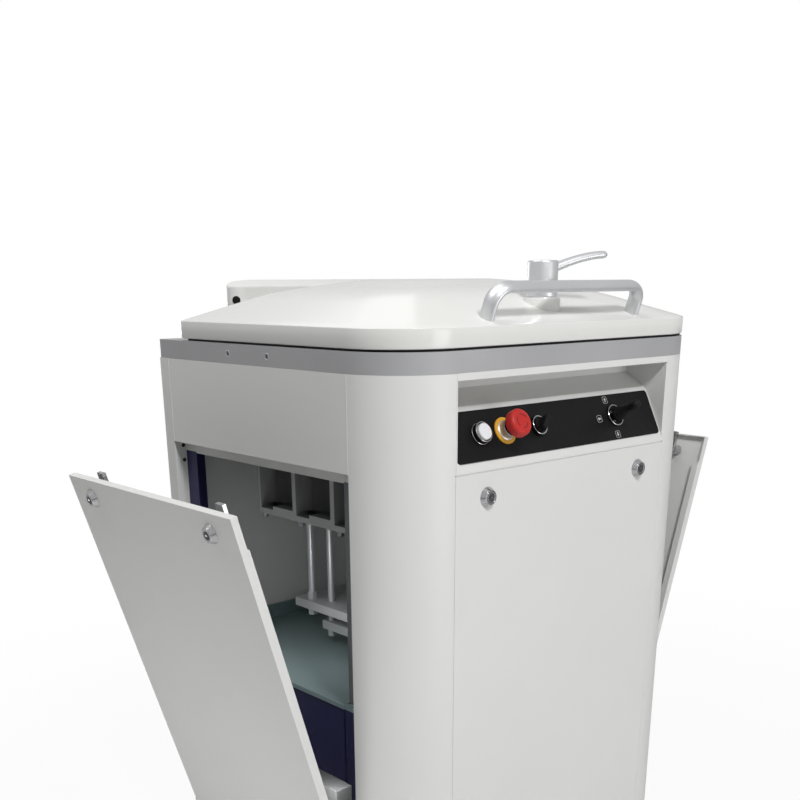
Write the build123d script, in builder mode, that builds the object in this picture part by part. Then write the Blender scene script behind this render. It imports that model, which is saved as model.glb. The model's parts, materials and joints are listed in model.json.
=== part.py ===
from build123d import *
import os
from math import cos, radians, sin

os.makedirs("parts", exist_ok=True)

# Overall cabinet, millimetres, floor at zero, front towards -Y
cabinet_width = 690.0
cabinet_depth = 590.0
corner_radius = 104.0
rear_radius = 6.0
sheet = 2.0
seam = 1.0
ring_top = 980.0
ring_height = 29.0
base_bottom = 60.0
base_height = 26.0
base_inset = 7.0
base_front_inset = 6.0
base_rear_inset = 2.0
base_wall = 4.0

# Clearances
running_fit = 0.05
pin_fit = 0.1
moving_gap = 0.3
bar_fit = 2.0

# Folded edges that the doors close against
lip_reach = 22.5
lip_length = 36.0
lip_rise = 20.0
front_lip_length = 36.0
front_lip_reach = 22.5
rear_fold_depth = 26.0

# Frame columns
rear_column_width = 30.0
rear_column_depth = 26.0
rear_column_gap = 2.0
rear_column_side_gap = 2.5
front_column_size = 30.0
front_column_out = 40.0
front_column_ahead = 41.0
column_wall = 2.5

# Upper side covers
upper_side_height = 135.0
upper_return = 45.0
upper_flange_drop = 16.0

# Doors
door_axis_inset = 10.0
door_axis_rise = 19.0
door_half_depth = 10.0
door_fold_depth = 14.0
door_top_depth = 11.0
door_return = 12.0
door_return_start = 50.0
door_gap = 1.5
side_door_gap = 3.0
front_door_gap = 1.5
left_door_tilt = 15.9
right_door_tilt = 16.7
knuckle_radius = 8.0
knuckle_length = 22.0
knuckle_inset = 40.0
hinge_pin_radius = 4.0
ear_radius = 7.0
ear_width = 8.0
ear_leg_out = 2.0
ear_gap = 0.5
ear_notch_out = 7.5

# Quarter-turn locks
lock_head_radius = 15.0
lock_face_radius = 10.5
lock_head_height = 8.0
lock_barrel_radius = 9.9
lock_barrel_back = 12.5
lock_insert_radius = 7.0
lock_insert_proud = 7.5
lock_tongue_width = 18.0
lock_tongue_thick = 6.0
lock_tongue_gap = 1.0
lock_tongue_reach = 32.0
lock_key_length = 9.0
lock_key_width = 1.8
lock_key_depth = 3.0
side_lock_edge = 61.0
side_lock_drop = 31.0
front_lock_edge = 63.5
front_lock_drop = 35.5

# Control console
console_gap = 2.0
console_height = 136.0
console_brow = 10.0
slope_set_back = 1.0
slope_sill = 10.0
slope_run = 39.0
slope_rise = 76.0
recess_run = 38.0
recess_rise = 21.3
plate_side_gap = 6.0
plate_low = 4.0
plate_depth = 74.0
plate_radius = 6.0
plate_thick = 2.0
control_height = 38.5
barrel_radius = 11.0
barrel_back = 22.0
control_stem = 5.0
estop_inset = 109.5
button_pitch = 51.5
selector_pitch = 71.0
joystick_inset = 101.0
bezel_radius = 15.0
button_bezel_height = 8.0
button_floor = 2.0
button_radius = 12.0
button_top = 13.5
button_travel = 4.0
estop_collar_radius = 20.0
estop_collar_height = 3.0
estop_sleeve_radius = 12.5
estop_sleeve_top = 14.0
estop_radius = 20.0
estop_travel = 5.0
estop_gap = 1.0
estop_head = 18.0
estop_stem = 8.0
selector_bezel_height = 6.0
selector_disc_radius = 11.0
selector_disc_height = 4.0
selector_wing_length = 24.0
selector_wing_width = 8.0
selector_wing_height = 12.0
selector_angle = 45.0
joystick_barrel_radius = 13.5
joystick_barrel_wall = 2.5
joystick_flange = 3.5
joystick_bezel_wall = 1.4
joystick_bezel_height = 3.0
joystick_floor = 1.0
joystick_pivot_depth = 6.0
gimbal_gap = 1.0
gimbal_wall = 3.5
gimbal_height = 6.0
gimbal_pin = 1.5
gimbal_pin_short = 0.8
stick_pin_short = 1.5
boot_base = 5.0
boot_height = 15.0
boot_radius = 12.0
boot_top_radius = 6.0
boot_ribs = 4
boot_groove = 1.6
stick_radius = 5.5
stick_length = 24.0
stick_stem = 4.0
stick_stem_end = 12.0
bulb_radius = 7.5

# Pan, plungers and knife; depths are below the top of the ring
pan_margin_front = 100.0
pan_margin_side = 105.0
pan_margin_rear = 178.0
pan_wall = 12.0
pan_radius = 4.0
pan_fit = 0.5
cells_x = 5
cells_y = 4
flange_high = 130.0
flange_thick = 15.0
skirt_height = 135.0
skirt_out_x = 3.0
skirt_out_y = 30.0
skirt_wall_x = 40.0
skirt_wall_y = 21.0
pockets = 4
pocket_rib = 10.0
pocket_web = 5.0
pocket_radius = 30.0
pocket_floor = 15.0
pocket_slot = 34.0
pocket_slot_drop = 6.0
pocket_roof = 15.0
lug_out = 15.0
lug_half = 80.0
lug_thick = 12.0
head_top = 92.0
head_thick = 18.0
stem_radius = 8.0
blade = 2.0
blade_gap = 0.7
blade_drop = 3.0
blade_height = 45.0
blade_end_gap = 1.0
knife_travel = 94.0
knife_bar_gap = 1.0
knife_bar_width = 24.0
knife_bar_thick = 10.0
knife_bar_end = 6.0
knife_rod_x = 100.0
knife_rod_radius = 10.0
knife_rod_spare = 30.0
press_plate_thick = 12.0
press_gap_x = 9.0
press_gap_y = 8.0
push_rod_in_x = 21.0
push_rod_in_y = 17.0
push_rod_radius = 6.0
push_rod_tail = 11.0
nut_radius = 8.5
nut_height = 13.0
crosshead_drop = 157.0
crosshead_thick = 15.0
crosshead_out_x = 15.0
crosshead_out_y = 30.0
column_in_x = 15.0
column_in_y = 35.0
column_radius = 6.0
column_drop = 13.0
column_plate_drop = 20.0
column_plate_thick = 15.0
column_plate_out = 12.0
spacer_size = 30.0
spacer_x = 110.0
spacer_height = 32.0
piston_radius = 20.0
piston_spare = 15.0
press_cylinder_radius = 55.0
knife_cylinder_radius = 30.0
cylinder_length = 150.0
cylinder_floor = 8.0

# Shelf inside the cabinet
shelf_thick = 8.0
shelf_step = 11.0
shelf_tab_out = 2.0
shelf_tab_end = 2.0
shelf_rear_gap = 4.0
shelf_upstand = 26.0
shelf_upstand_thick = 3.0
shelf_notch = 2.0
carrier_inset = 14.0
carrier_rear_gap = 3.0
carrier_height = 125.0
carrier_wall = 6.0
carrier_arm_width = 18.0
carrier_arm_height = 42.0

# Hydraulics on the floor
tank_inset = 38.0
tank_width = 220.0
tank_set_back = 203.0
tank_depth = 296.0
tank_headroom = 25.0
tank_wall = 3.0
tank_cap_inset = 100.0
tank_cap_radius = 22.0
tank_cap_height = 15.0
motor_inset = 148.0
motor_set_back = 222.0
motor_radius = 62.0
motor_length = 200.0
motor_foot_width = 90.0
motor_foot_height = 16.0
coupling_length = 4.0
pump_length = 116.0
pump_width = 90.0
pump_height = 130.0

# Feet and wheels
foot_inset = 58.0
foot_set_back = 88.0
foot_pad_radius = 30.0
foot_pad_height = 10.0
foot_stem_radius = 8.0
foot_nut_radius = 14.0
foot_nut_height = 12.0
wheel_inset = 58.0
wheel_set_back = 62.0
wheel_radius = 26.0
wheel_width = 30.0
wheel_edge = 4.0
axle_radius = 6.0
bracket_gap = 4.0
bracket_thick = 4.0
bracket_half = 22.0
bracket_drop = 18.0

# Lid and latch
lid_set_back = 73.5
lid_rear_radius = 20.0
lid_gap = 3.0
seal_inset = 3.0
seal_width = 26.0
rim_height = 27.0
crown_height = 60.0
plateau_share = 0.333
crown_front_share = 0.448
crown_rear_share = 0.29
plateau_round = 0.42
shoulder_share = 0.5
shoulder_rise = 0.7
lid_wall = 5.0
lid_flange = 34.0
lid_flange_thick = 4.0
lid_rib_x = 120.0
lid_rib_thick = 6.0
lid_rib_end = 20.0
press_lid_out_x = 60.0
press_lid_out_front = 6.0
press_lid_out_rear = 14.0
press_lid_gap = 1.0
press_lid_thick = 15.0
latch_inset = 64.5
boss_radius = 27.5
boss_sink = 10.0
boss_seat_gap = 1.5
boss_height = 43.0
spindle_radius = 6.0
latch_head_length = 26.0
latch_head_width = 12.0
latch_head_top = 17.0
latch_head_low = 26.0
latch_slot_half = 16.0
latch_slot_ahead = 12.0
latch_slot_behind = 7.0
latch_pocket_radius = 16.0
latch_pocket_depth = 12.0
hub_radius = 22.5
hub_height = 51.5
hub_edge = 3.0
arm_turn = -20.0
arm_start = 6.0
arm_reach = 108.0
arm_rise = 22.5
arm_drop = 15.0
arm_thick = 14.0
arm_width = 17.0
arm_tip_thick = 10.5
arm_tip_width = 14.0
arm_sections = 4
handle_side_inset = 183.0
handle_inset = 22.0
handle_height = 43.0
handle_bend = 25.0
handle_tall = 15.0
handle_deep = 25.0

# Lid hinge
hinge_set_back = 34.0
hinge_rise = 62.0
hinge_shaft_radius = 10.0
hinge_shaft_end = 25.0
hinge_block_step = 40.0
hinge_block_width = 24.0
hinge_block_depth = 28.0
hinge_block_rise = 18.0
hinge_arm_inset = 260.0
hinge_arm_width = 10.0
hinge_arm_half = 9.0
hinge_eye_radius = 14.0
hinge_pad_width = 30.0
hinge_pad_thick = 6.0
hinge_pad_edge = 2.0
cover_end = 94.0
cover_gap = 14.0
cover_depth = 40.0
cover_height = 91.0
cover_corner = 9.0
cover_slot_width = 16.0
cover_slot_drop = 13.0
plug_inset = 19.0
plug_radius = 8.5
plug_thick = 2.5

# Rear cover and ring details
vent_inset = 195.0
vent_rows = 8
vent_pitch = 22.0
vent_length = 120.0
vent_width = 7.0
vent_z = 300.0
gland_inset = 95.0
gland_z = 190.0
gland_radius = 10.0
gland_flange_radius = 16.0
gland_length = 24.0
gland_bore = 5.0
side_hole_radius = 4.0
side_hole_front_y = -10.5
side_hole_rear_y = 91.0

# Cabinet values that follow
half_width = cabinet_width / 2
front_y = -cabinet_depth / 2
rear_y = cabinet_depth / 2
ring_bottom = ring_top - ring_height
base_top = base_bottom + base_height
base_half = half_width - base_inset
base_front = front_y + base_front_inset
base_rear = rear_y - base_rear_inset
base_radius = corner_radius - base_front_inset
arc_x = half_width - corner_radius
arc_y = front_y + corner_radius
lip_x = half_width - lip_reach
rear_fold = rear_y - rear_fold_depth
rear_column_x = lip_x - rear_column_side_gap - rear_column_width / 2
rear_column_y = rear_y - sheet - rear_column_gap - rear_column_depth / 2
rear_column_front = rear_column_y - rear_column_depth / 2
front_column_x = arc_x + front_column_out
front_column_y = arc_y - front_column_ahead
front_column_back = front_column_y + front_column_size / 2
upper_side_bottom = ring_bottom - upper_side_height
upper_return_x = half_width - upper_return

# Console values that follow
console_half = arc_x - console_gap
console_bottom = ring_bottom - console_height
console_ceiling = ring_bottom - console_brow
slope_front = front_y + slope_set_back
slope_low = console_bottom + slope_sill
slope_top_y = slope_front + slope_run
slope_top_z = slope_low + slope_rise
recess_back_y = slope_top_y + recess_run
recess_back_z = slope_top_z + recess_rise
plate_half = console_half - plate_side_gap
plate_high = plate_low + plate_depth
control_row = plate_low + control_height
estop_x = estop_inset - plate_half
joystick_x = plate_half - joystick_inset
button_x = estop_x - button_pitch
selector_x = estop_x + selector_pitch
estop_low = estop_sleeve_top + estop_travel + estop_gap
estop_top = estop_low + estop_head
selector_disc_top = selector_bezel_height + selector_disc_height
selector_top = selector_disc_top + selector_wing_height
joystick_barrel_bore = joystick_barrel_radius - joystick_barrel_wall
joystick_bezel_radius = joystick_barrel_radius + joystick_flange
joystick_bezel_inner = joystick_bezel_radius - joystick_bezel_wall
gimbal_radius = joystick_barrel_bore - gimbal_gap
gimbal_bore = gimbal_radius - gimbal_wall
gimbal_pin_reach = joystick_barrel_radius - gimbal_pin_short
stick_pin_reach = gimbal_radius - stick_pin_short
boot_top = boot_base + boot_height
bulb_centre = boot_top + stick_length

# Door values that follow
door_axis_x = half_width - door_axis_inset
door_axis_z = base_top + door_axis_rise
front_axis_y = front_y + door_axis_inset
lip_start = door_axis_z + lip_rise
side_door_front = arc_y + door_gap
side_door_rear = rear_fold - door_gap
side_door_half = (side_door_rear - side_door_front) / 2
side_door_y = (side_door_rear + side_door_front) / 2
side_door_height = upper_side_bottom - side_door_gap - door_axis_z
front_door_half = arc_x - door_gap
front_door_height = console_bottom - front_door_gap - door_axis_z
door_bottom = -door_half_depth
door_back = door_half_depth - door_fold_depth
door_top_back = door_half_depth - door_top_depth
side_lock_u = side_door_half - side_lock_edge
side_lock_v = side_door_height - side_lock_drop
front_lock_x = front_door_half - front_lock_edge
front_lock_v = front_door_height - front_lock_drop

# Pan and drive values that follow
pan_half_x = half_width - pan_margin_side
pan_half_y = (cabinet_depth - pan_margin_front - pan_margin_rear) / 2
pan_y = front_y + pan_margin_front + pan_half_y
cell_x = 2 * pan_half_x / cells_x
cell_y = 2 * pan_half_y / cells_y
flange_low = flange_high + flange_thick
skirt_low = flange_low + skirt_height
skirt_half_x = pan_half_x + pan_wall + skirt_out_x
skirt_half_y = pan_half_y + pan_wall + skirt_out_y
cavity_half_x = skirt_half_x - skirt_wall_x
cavity_half_y = skirt_half_y - skirt_wall_y
pocket_pitch = 2 * skirt_half_y / pockets
pocket_width = pocket_pitch - pocket_rib
pocket_depth = skirt_wall_x - pocket_web
slot_shift = (pocket_width - pocket_slot) / 2
pocket_low = skirt_low - pocket_floor
pocket_high = flange_low + pocket_roof
lug_x = skirt_half_x + lug_out
blade_top = head_top + blade_drop
blade_low = blade_top + blade_height
blade_half_x = pan_half_x - blade_end_gap
blade_half_y = pan_half_y - blade_end_gap
knife_bar_top = head_top + head_thick + knife_travel + knife_bar_gap
knife_bar_low = knife_bar_top + knife_bar_thick
knife_bar_half = cell_x * (cells_x - 2) / 2 + knife_bar_end
press_plate_top = skirt_low - press_plate_thick
press_half_x = cavity_half_x - press_gap_x
press_half_y = cavity_half_y - press_gap_y
push_rod_x = press_half_x - push_rod_in_x
push_rod_y = press_half_y - push_rod_in_y
crosshead_top = skirt_low + crosshead_drop
crosshead_low = crosshead_top + crosshead_thick
crosshead_half_x = push_rod_x + crosshead_out_x
crosshead_half_y = push_rod_y + crosshead_out_y
column_x = push_rod_x - column_in_x
column_y = push_rod_y - column_in_y
column_head = skirt_low + column_drop
column_plate_top = crosshead_low + column_plate_drop
column_plate_low = column_plate_top + column_plate_thick
column_plate_half_x = column_x + column_plate_out
column_plate_half_y = column_y + column_plate_out
shelf_top = ring_top - column_plate_low - spacer_height
shelf_low = shelf_top - shelf_thick
cylinder_bottom = shelf_low - cylinder_length
piston_foot = cylinder_bottom + cylinder_floor + piston_spare
knife_rod_foot = cylinder_bottom + cylinder_floor + knife_rod_spare

# Shelf, tank, foot and wheel values that follow
carrier_half = half_width - carrier_inset
carrier_front = arc_y + lip_length + seam
carrier_rear = rear_fold + sheet - lip_length - carrier_rear_gap
shelf_half = carrier_half - shelf_step
shelf_front = front_column_back + seam
shelf_rear = rear_y - sheet - shelf_rear_gap
shelf_tab_half = carrier_half + shelf_tab_out
shelf_tab_front = carrier_front + shelf_tab_end
shelf_tab_rear = carrier_rear - shelf_tab_end
tank_left = tank_inset - base_half
tank_right = tank_left + tank_width
tank_front = base_front + tank_set_back
tank_rear = tank_front + tank_depth
tank_top = cylinder_bottom - tank_headroom
motor_x = base_half - motor_inset
motor_y = base_rear - motor_set_back
pump_front = motor_y - motor_length / 2 - coupling_length - pump_length
foot_x = base_half - foot_inset
foot_y = base_front + foot_set_back
wheel_x = base_half - wheel_inset
wheel_y = base_rear - wheel_set_back
bracket_low = wheel_radius - bracket_drop

# Lid values that follow
lid_rear = rear_y - lid_set_back
lid_bottom = ring_top + lid_gap
rim_top = lid_bottom + rim_height
crown_top = rim_top + crown_height
lid_depth = lid_rear - front_y
plateau_half = plateau_share * half_width
plateau_front = front_y + crown_front_share * lid_depth
plateau_rear = lid_rear - crown_rear_share * lid_depth
plateau_radius = plateau_round * (plateau_rear - plateau_front)
shoulder_half = half_width + shoulder_share * (plateau_half - half_width)
shoulder_front = front_y + shoulder_share * (plateau_front - front_y)
shoulder_rear = lid_rear + shoulder_share * (plateau_rear - lid_rear)
shoulder_front_radius = corner_radius + shoulder_share * (plateau_radius - corner_radius)
shoulder_rear_radius = lid_rear_radius + shoulder_share * (plateau_radius - lid_rear_radius)
crown_slope = shoulder_rise * crown_height / (shoulder_front - front_y)
press_lid_half = pan_half_x + press_lid_out_x
press_lid_front = pan_y - pan_half_y - press_lid_out_front
press_lid_rear = pan_y + pan_half_y + press_lid_out_rear
lid_rib_front = press_lid_front + lid_rib_end
lid_rib_rear = press_lid_rear - lid_rib_end
latch_y = front_y + latch_inset
latch_slot_front = latch_y - latch_slot_ahead
latch_slot_rear = latch_y + latch_slot_behind
boss_low = rim_top - boss_sink
boss_top = boss_low + boss_height
hub_low = boss_top + moving_gap
hub_top = boss_top + hub_height
arm_low = hub_top - arm_drop
handle_foot_x = half_width - handle_side_inset
handle_foot_y = front_y + handle_inset
hinge_y = lid_rear + hinge_set_back
hinge_z = ring_top + hinge_rise
hinge_arm_x = half_width - hinge_arm_inset
hinge_block_x = hinge_arm_x + hinge_block_step
hinge_block_top = hinge_z + hinge_block_rise
hinge_shaft_half = hinge_block_x + hinge_shaft_end
hinge_pad_low = lid_bottom + hinge_pad_edge
hinge_pad_high = rim_top - hinge_pad_edge
cover_half = hinge_shaft_half + cover_end
cover_front = lid_rear + cover_gap
cover_rear = cover_front + cover_depth
cover_top = ring_top + cover_height
cover_slot_top = cover_top - cover_slot_drop
plug_x = cover_half - plug_inset
side_hole_z = ring_bottom + ring_height / 2
vent_x = half_width - vent_inset
gland_x = half_width - gland_inset


def level(depth):
    """Height of a point a given depth below the top of the ring."""
    return ring_top - depth


def area(x0, x1, y0, y1, mode=Mode.ADD):
    """Rectangle between two x and two y values in the sketch in hand."""
    with Locations(((x0 + x1) / 2, (y0 + y1) / 2)):
        Rectangle(abs(x1 - x0), abs(y1 - y0), mode=mode)


def block(x0, x1, y0, y1, z0, z1, mode=Mode.ADD):
    """Box between two values on each axis in the part in hand."""
    with Locations(((x0 + x1) / 2, (y0 + y1) / 2, (z0 + z1) / 2)):
        Box(abs(x1 - x0), abs(y1 - y0), abs(z1 - z0), mode=mode)


def rod(x, y, z0, z1, radius, mode=Mode.ADD):
    """Upright cylinder between two heights in the part in hand."""
    with Locations((x, y, (z0 + z1) / 2)):
        Cylinder(radius, abs(z1 - z0), mode=mode)


def plan_face(half, near, far, near_radius, far_radius):
    """Plan outline with one radius on the front corners and one on the rear."""
    with BuildSketch() as outline:
        area(-half, half, near, far)
        fillet(outline.vertices().group_by(Axis.Y)[0], near_radius)
        fillet(outline.vertices().group_by(Axis.Y)[-1], far_radius)
    return outline.sketch


def tilted_plane(side, tilt):
    """Door plane on its hinge axis: X along the door, Y up it, Z outwards."""
    lean = radians(tilt)
    outwards = (side * cos(lean), 0, -sin(lean))
    return Plane(origin=(side * door_axis_x, side_door_y, door_axis_z), x_dir=(0, side, 0), z_dir=outwards)


def local_plane(plane, x, y, z=0.0):
    """Plane parallel to another, moved by local coordinates."""
    return Plane(origin=plane.from_local_coords((x, y, z)), x_dir=plane.x_dir, z_dir=plane.z_dir)


left_plane = tilted_plane(-1, left_door_tilt)
right_plane = tilted_plane(1, right_door_tilt)
front_plane = Plane(origin=(0, front_axis_y, door_axis_z), x_dir=(1, 0, 0), z_dir=(0, -1, 0))
slope_plane = Plane(origin=(0, slope_front, slope_low), x_dir=(1, 0, 0), z_dir=(0, -slope_rise, slope_run))


def door(plane, half, top, locks):
    """Pan-folded door with hinge knuckles and holes for its locks."""
    skin_back = door_half_depth - sheet
    ear_middle = knuckle_length / 2 + ear_gap + ear_width / 2
    notch = ear_width / 2 + ear_gap
    with BuildPart(plane) as built:
        block(-half, half, door_bottom, top, skin_back, door_half_depth)
        block(-half, half, top - sheet, top, door_top_back, skin_back)
        block(-half, half, door_bottom, door_bottom + sheet, door_back, skin_back)
        for side in (-1, 1):
            edge = side * half
            inner = edge - side * sheet
            fold = edge - side * door_return
            block(edge, inner, door_bottom, top, door_top_back, skin_back)
            block(edge, inner, door_bottom, top - door_return_start, door_back, door_top_back)
            block(edge, fold, door_bottom, top - door_return_start, door_back, door_back + sheet)
        for side in (-1, 1):
            spot = side * (half - knuckle_inset)
            for ear in (-1, 1):
                low = spot + ear * ear_middle - notch
                block(low, low + 2 * notch, door_bottom - 1, door_bottom + sheet + 1,
                      door_back - 1, ear_notch_out, Mode.SUBTRACT)
            start = spot - knuckle_length / 2
            block(start, start + knuckle_length, -knuckle_radius, knuckle_radius, 0, skin_back)
            with Locations((spot, 0, 0)):
                Cylinder(knuckle_radius, knuckle_length, rotation=(0, 90, 0))
            with Locations((spot, 0, 0)):
                Cylinder(hinge_pin_radius + pin_fit, knuckle_length, rotation=(0, 90, 0), mode=Mode.SUBTRACT)
        for u, v in locks:
            rod(u, v, skin_back - 1, door_half_depth + 1, lock_barrel_radius + pin_fit, Mode.SUBTRACT)
    return built


def hinge_ears(plane, half):
    """Ears and welded pins on the base for one door, drawn on the closed door's plane."""
    ear_middle = knuckle_length / 2 + ear_gap + ear_width / 2
    pin_length = 2 * (ear_middle + ear_width / 2)
    with BuildPart(plane) as built:
        for side in (-1, 1):
            spot = side * (half - knuckle_inset)
            for ear in (-1, 1):
                middle = spot + ear * ear_middle
                with Locations((middle, 0, 0)):
                    Cylinder(ear_radius, ear_width, rotation=(0, 90, 0))
                block(middle - ear_width / 2, middle + ear_width / 2, base_top - door_axis_z, 0,
                      -ear_radius, ear_leg_out)
            with Locations((spot, 0, 0)):
                Cylinder(hinge_pin_radius, pin_length, rotation=(0, 90, 0))
    return built


def lock_heads(plane, locks):
    """Conical heads and barrels of the locks on one door."""
    with BuildPart(plane) as built:
        for u, v in locks:
            with Locations((u, v, door_half_depth)):
                Cone(lock_head_radius, lock_face_radius, lock_head_height,
                     align=(Align.CENTER, Align.CENTER, Align.MIN))
            rod(u, v, -lock_barrel_back, door_half_depth, lock_barrel_radius)
            bore = lock_insert_radius + running_fit
            rod(u, v, -lock_barrel_back, door_half_depth + lock_head_height, bore, Mode.SUBTRACT)
    return built


def lock_cam(plane, u, v, way):
    """Turning insert of one lock with its tongue up (way 1) or down (way -1) the door."""
    front = door_half_depth + lock_insert_proud
    tongue_front = -lock_barrel_back - lock_tongue_gap
    tongue_back = tongue_front - lock_tongue_thick
    half = lock_tongue_width / 2
    with BuildPart(local_plane(plane, u, v)) as built:
        rod(0, 0, tongue_back, front, lock_insert_radius)
        rod(0, 0, tongue_back, tongue_front, half)
        block(-half, half, 0, way * lock_tongue_reach, tongue_back, tongue_front)
        block(-lock_key_width / 2, lock_key_width / 2, -lock_key_length / 2, lock_key_length / 2,
              front - lock_key_depth, front + 1, Mode.SUBTRACT)
    return built


side_locks = [(-side_lock_u, side_lock_v), (side_lock_u, side_lock_v)]
front_locks = [(-front_lock_x, front_lock_v), (front_lock_x, front_lock_v)]

# Base tray with the hinge ears of the three doors
left_ears = hinge_ears(tilted_plane(-1, 0), side_door_half)
right_ears = hinge_ears(tilted_plane(1, 0), side_door_half)
front_ears = hinge_ears(front_plane, front_door_half)
with BuildPart() as base_frame:
    with BuildSketch(Plane.XY.offset(base_bottom)):
        add(plan_face(base_half, base_front, base_rear, base_radius, rear_radius))
    extrude(amount=base_top - base_bottom)
    with BuildSketch(Plane.XY.offset(base_bottom)):
        add(plan_face(base_half - base_wall, base_front + base_wall, base_rear - base_wall,
                      base_radius - base_wall, rear_radius - base_wall))
    extrude(amount=base_top - base_bottom - base_wall, mode=Mode.SUBTRACT)
    add(left_ears.part)
    add(right_ears.part)
    add(front_ears.part)
base_frame.part.label = "base_frame"
export_step(base_frame.part, "parts/base_frame.step")

with BuildPart() as frame_columns:
    with BuildSketch(Plane.XY.offset(base_top)):
        with GridLocations(2 * front_column_x, 0, 2, 1):
            with Locations((0, front_column_y)):
                Rectangle(front_column_size, front_column_size)
                Rectangle(front_column_size - 2 * column_wall, front_column_size - 2 * column_wall,
                          mode=Mode.SUBTRACT)
        with GridLocations(2 * rear_column_x, 0, 2, 1):
            with Locations((0, rear_column_y)):
                Rectangle(rear_column_width, rear_column_depth)
                Rectangle(rear_column_width - 2 * column_wall, rear_column_depth - 2 * column_wall,
                          mode=Mode.SUBTRACT)
    extrude(amount=ring_bottom - base_top)
frame_columns.part.label = "frame_columns"
export_step(frame_columns.part, "parts/frame_columns.step")


def front_corner(side):
    """Rounded front corner cover with folded edges for the side and front doors."""
    fold_x = arc_x + sheet
    fold_back = front_y + front_lip_reach
    with BuildPart() as built:
        with BuildSketch(Plane.XY.offset(base_top)):
            with Locations((side * arc_x, arc_y)):
                Circle(corner_radius)
                Circle(corner_radius - sheet, mode=Mode.SUBTRACT)
            area(side * arc_x, side * half_width, front_y, arc_y, Mode.INTERSECT)
            area(side * lip_x, side * (half_width - sheet / 2), arc_y - sheet, arc_y)
            area(side * arc_x, side * fold_x, front_y + sheet / 2, fold_back)
        extrude(amount=ring_bottom - base_top)
        with BuildSketch(Plane.XY.offset(lip_start)):
            area(side * lip_x, side * (lip_x + sheet), arc_y - sheet, arc_y + lip_length - sheet)
        extrude(amount=ring_bottom - lip_start)
        with BuildSketch(Plane.XY.offset(lip_start)):
            area(side * (arc_x - front_lip_length), side * fold_x, fold_back - sheet, fold_back)
        extrude(amount=console_bottom - sheet - lip_start)
    return built


front_corner_left = front_corner(-1)
front_corner_left.part.label = "front_corner_left"
export_step(front_corner_left.part, "parts/front_corner_left.step")
front_corner_right = front_corner(1)
front_corner_right.part.label = "front_corner_right"
export_step(front_corner_right.part, "parts/front_corner_right.step")

with BuildPart() as rear_cover:
    with BuildSketch(Plane.XY.offset(base_top)):
        area(-half_width, half_width, rear_y - sheet, rear_y)
        for side in (-1, 1):
            area(side * (half_width - sheet), side * half_width, rear_fold, rear_y)
            area(side * lip_x, side * half_width, rear_fold, rear_fold + sheet)
    extrude(amount=ring_bottom - base_top)
    with BuildSketch(Plane.XY.offset(lip_start)):
        for side in (-1, 1):
            area(side * lip_x, side * (lip_x + sheet), rear_fold + sheet - lip_length, rear_fold + sheet)
    extrude(amount=ring_bottom - lip_start)
    fillet(rear_cover.edges().filter_by(Axis.Z).group_by(Axis.Y)[-1], sheet / 2)
    with BuildSketch(Plane(origin=(0, rear_y, vent_z), x_dir=(-1, 0, 0), z_dir=(0, 1, 0))):
        with GridLocations(2 * vent_x, vent_pitch, 2, vent_rows):
            SlotOverall(vent_length, vent_width)
    extrude(amount=-2 * sheet, mode=Mode.SUBTRACT)
    with BuildSketch(Plane(origin=(0, rear_y, 0), x_dir=(-1, 0, 0), z_dir=(0, 1, 0))):
        with Locations((-gland_x, gland_z)):
            Circle(gland_radius)
    extrude(amount=-2 * sheet, mode=Mode.SUBTRACT)
rear_cover.part.label = "rear_cover"
export_step(rear_cover.part, "parts/rear_cover.step")

with BuildPart(Plane(origin=(gland_x, rear_y, gland_z), x_dir=(-1, 0, 0), z_dir=(0, 1, 0))) as cable_gland:
    rod(0, 0, -gland_length / 2, gland_length, gland_radius)
    rod(0, 0, 0, gland_length / 3, gland_flange_radius)
    fillet(cable_gland.edges().filter_by(GeomType.CIRCLE).group_by(Axis.Y)[-1], gland_radius / 4)
    rod(0, 0, -gland_length, 2 * gland_length, gland_bore, Mode.SUBTRACT)
cable_gland.part.label = "cable_gland"
export_step(cable_gland.part, "parts/cable_gland.step")


def upper_side(side):
    """Cover above a side door, folded in at its lower edge and down again."""
    near = arc_y + seam
    far = rear_fold - seam
    fold_near = arc_y + lip_length + seam
    fold_far = rear_fold + sheet - lip_length - seam
    inner = upper_return_x + sheet
    with BuildPart() as built:
        block(side * (half_width - sheet), side * half_width, near, far, upper_side_bottom, ring_bottom)
        block(side * upper_return_x, side * half_width, fold_near, fold_far,
              upper_side_bottom, upper_side_bottom + sheet)
        block(side * upper_return_x, side * inner, fold_near, fold_far,
              upper_side_bottom - upper_flange_drop, upper_side_bottom)
    return built


upper_side_left = upper_side(-1)
upper_side_left.part.label = "upper_side_left"
export_step(upper_side_left.part, "parts/upper_side_left.step")
upper_side_right = upper_side(1)
upper_side_right.part.label = "upper_side_right"
export_step(upper_side_right.part, "parts/upper_side_right.step")

# Doors and locks
side_panel_left = door(left_plane, side_door_half, side_door_height, side_locks)
side_panel_left.part.label = "side_panel_left"
export_step(side_panel_left.part, "parts/side_panel_left.step")
side_panel_right = door(right_plane, side_door_half, side_door_height, side_locks)
side_panel_right.part.label = "side_panel_right"
export_step(side_panel_right.part, "parts/side_panel_right.step")
front_panel = door(front_plane, front_door_half, front_door_height, front_locks)
front_panel.part.label = "front_panel"
export_step(front_panel.part, "parts/front_panel.step")

lock_heads_left = lock_heads(left_plane, side_locks)
lock_heads_left.part.label = "lock_heads_left"
export_step(lock_heads_left.part, "parts/lock_heads_left.step")
lock_heads_right = lock_heads(right_plane, side_locks)
lock_heads_right.part.label = "lock_heads_right"
export_step(lock_heads_right.part, "parts/lock_heads_right.step")
lock_heads_front = lock_heads(front_plane, front_locks)
lock_heads_front.part.label = "lock_heads_front"
export_step(lock_heads_front.part, "parts/lock_heads_front.step")

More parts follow.
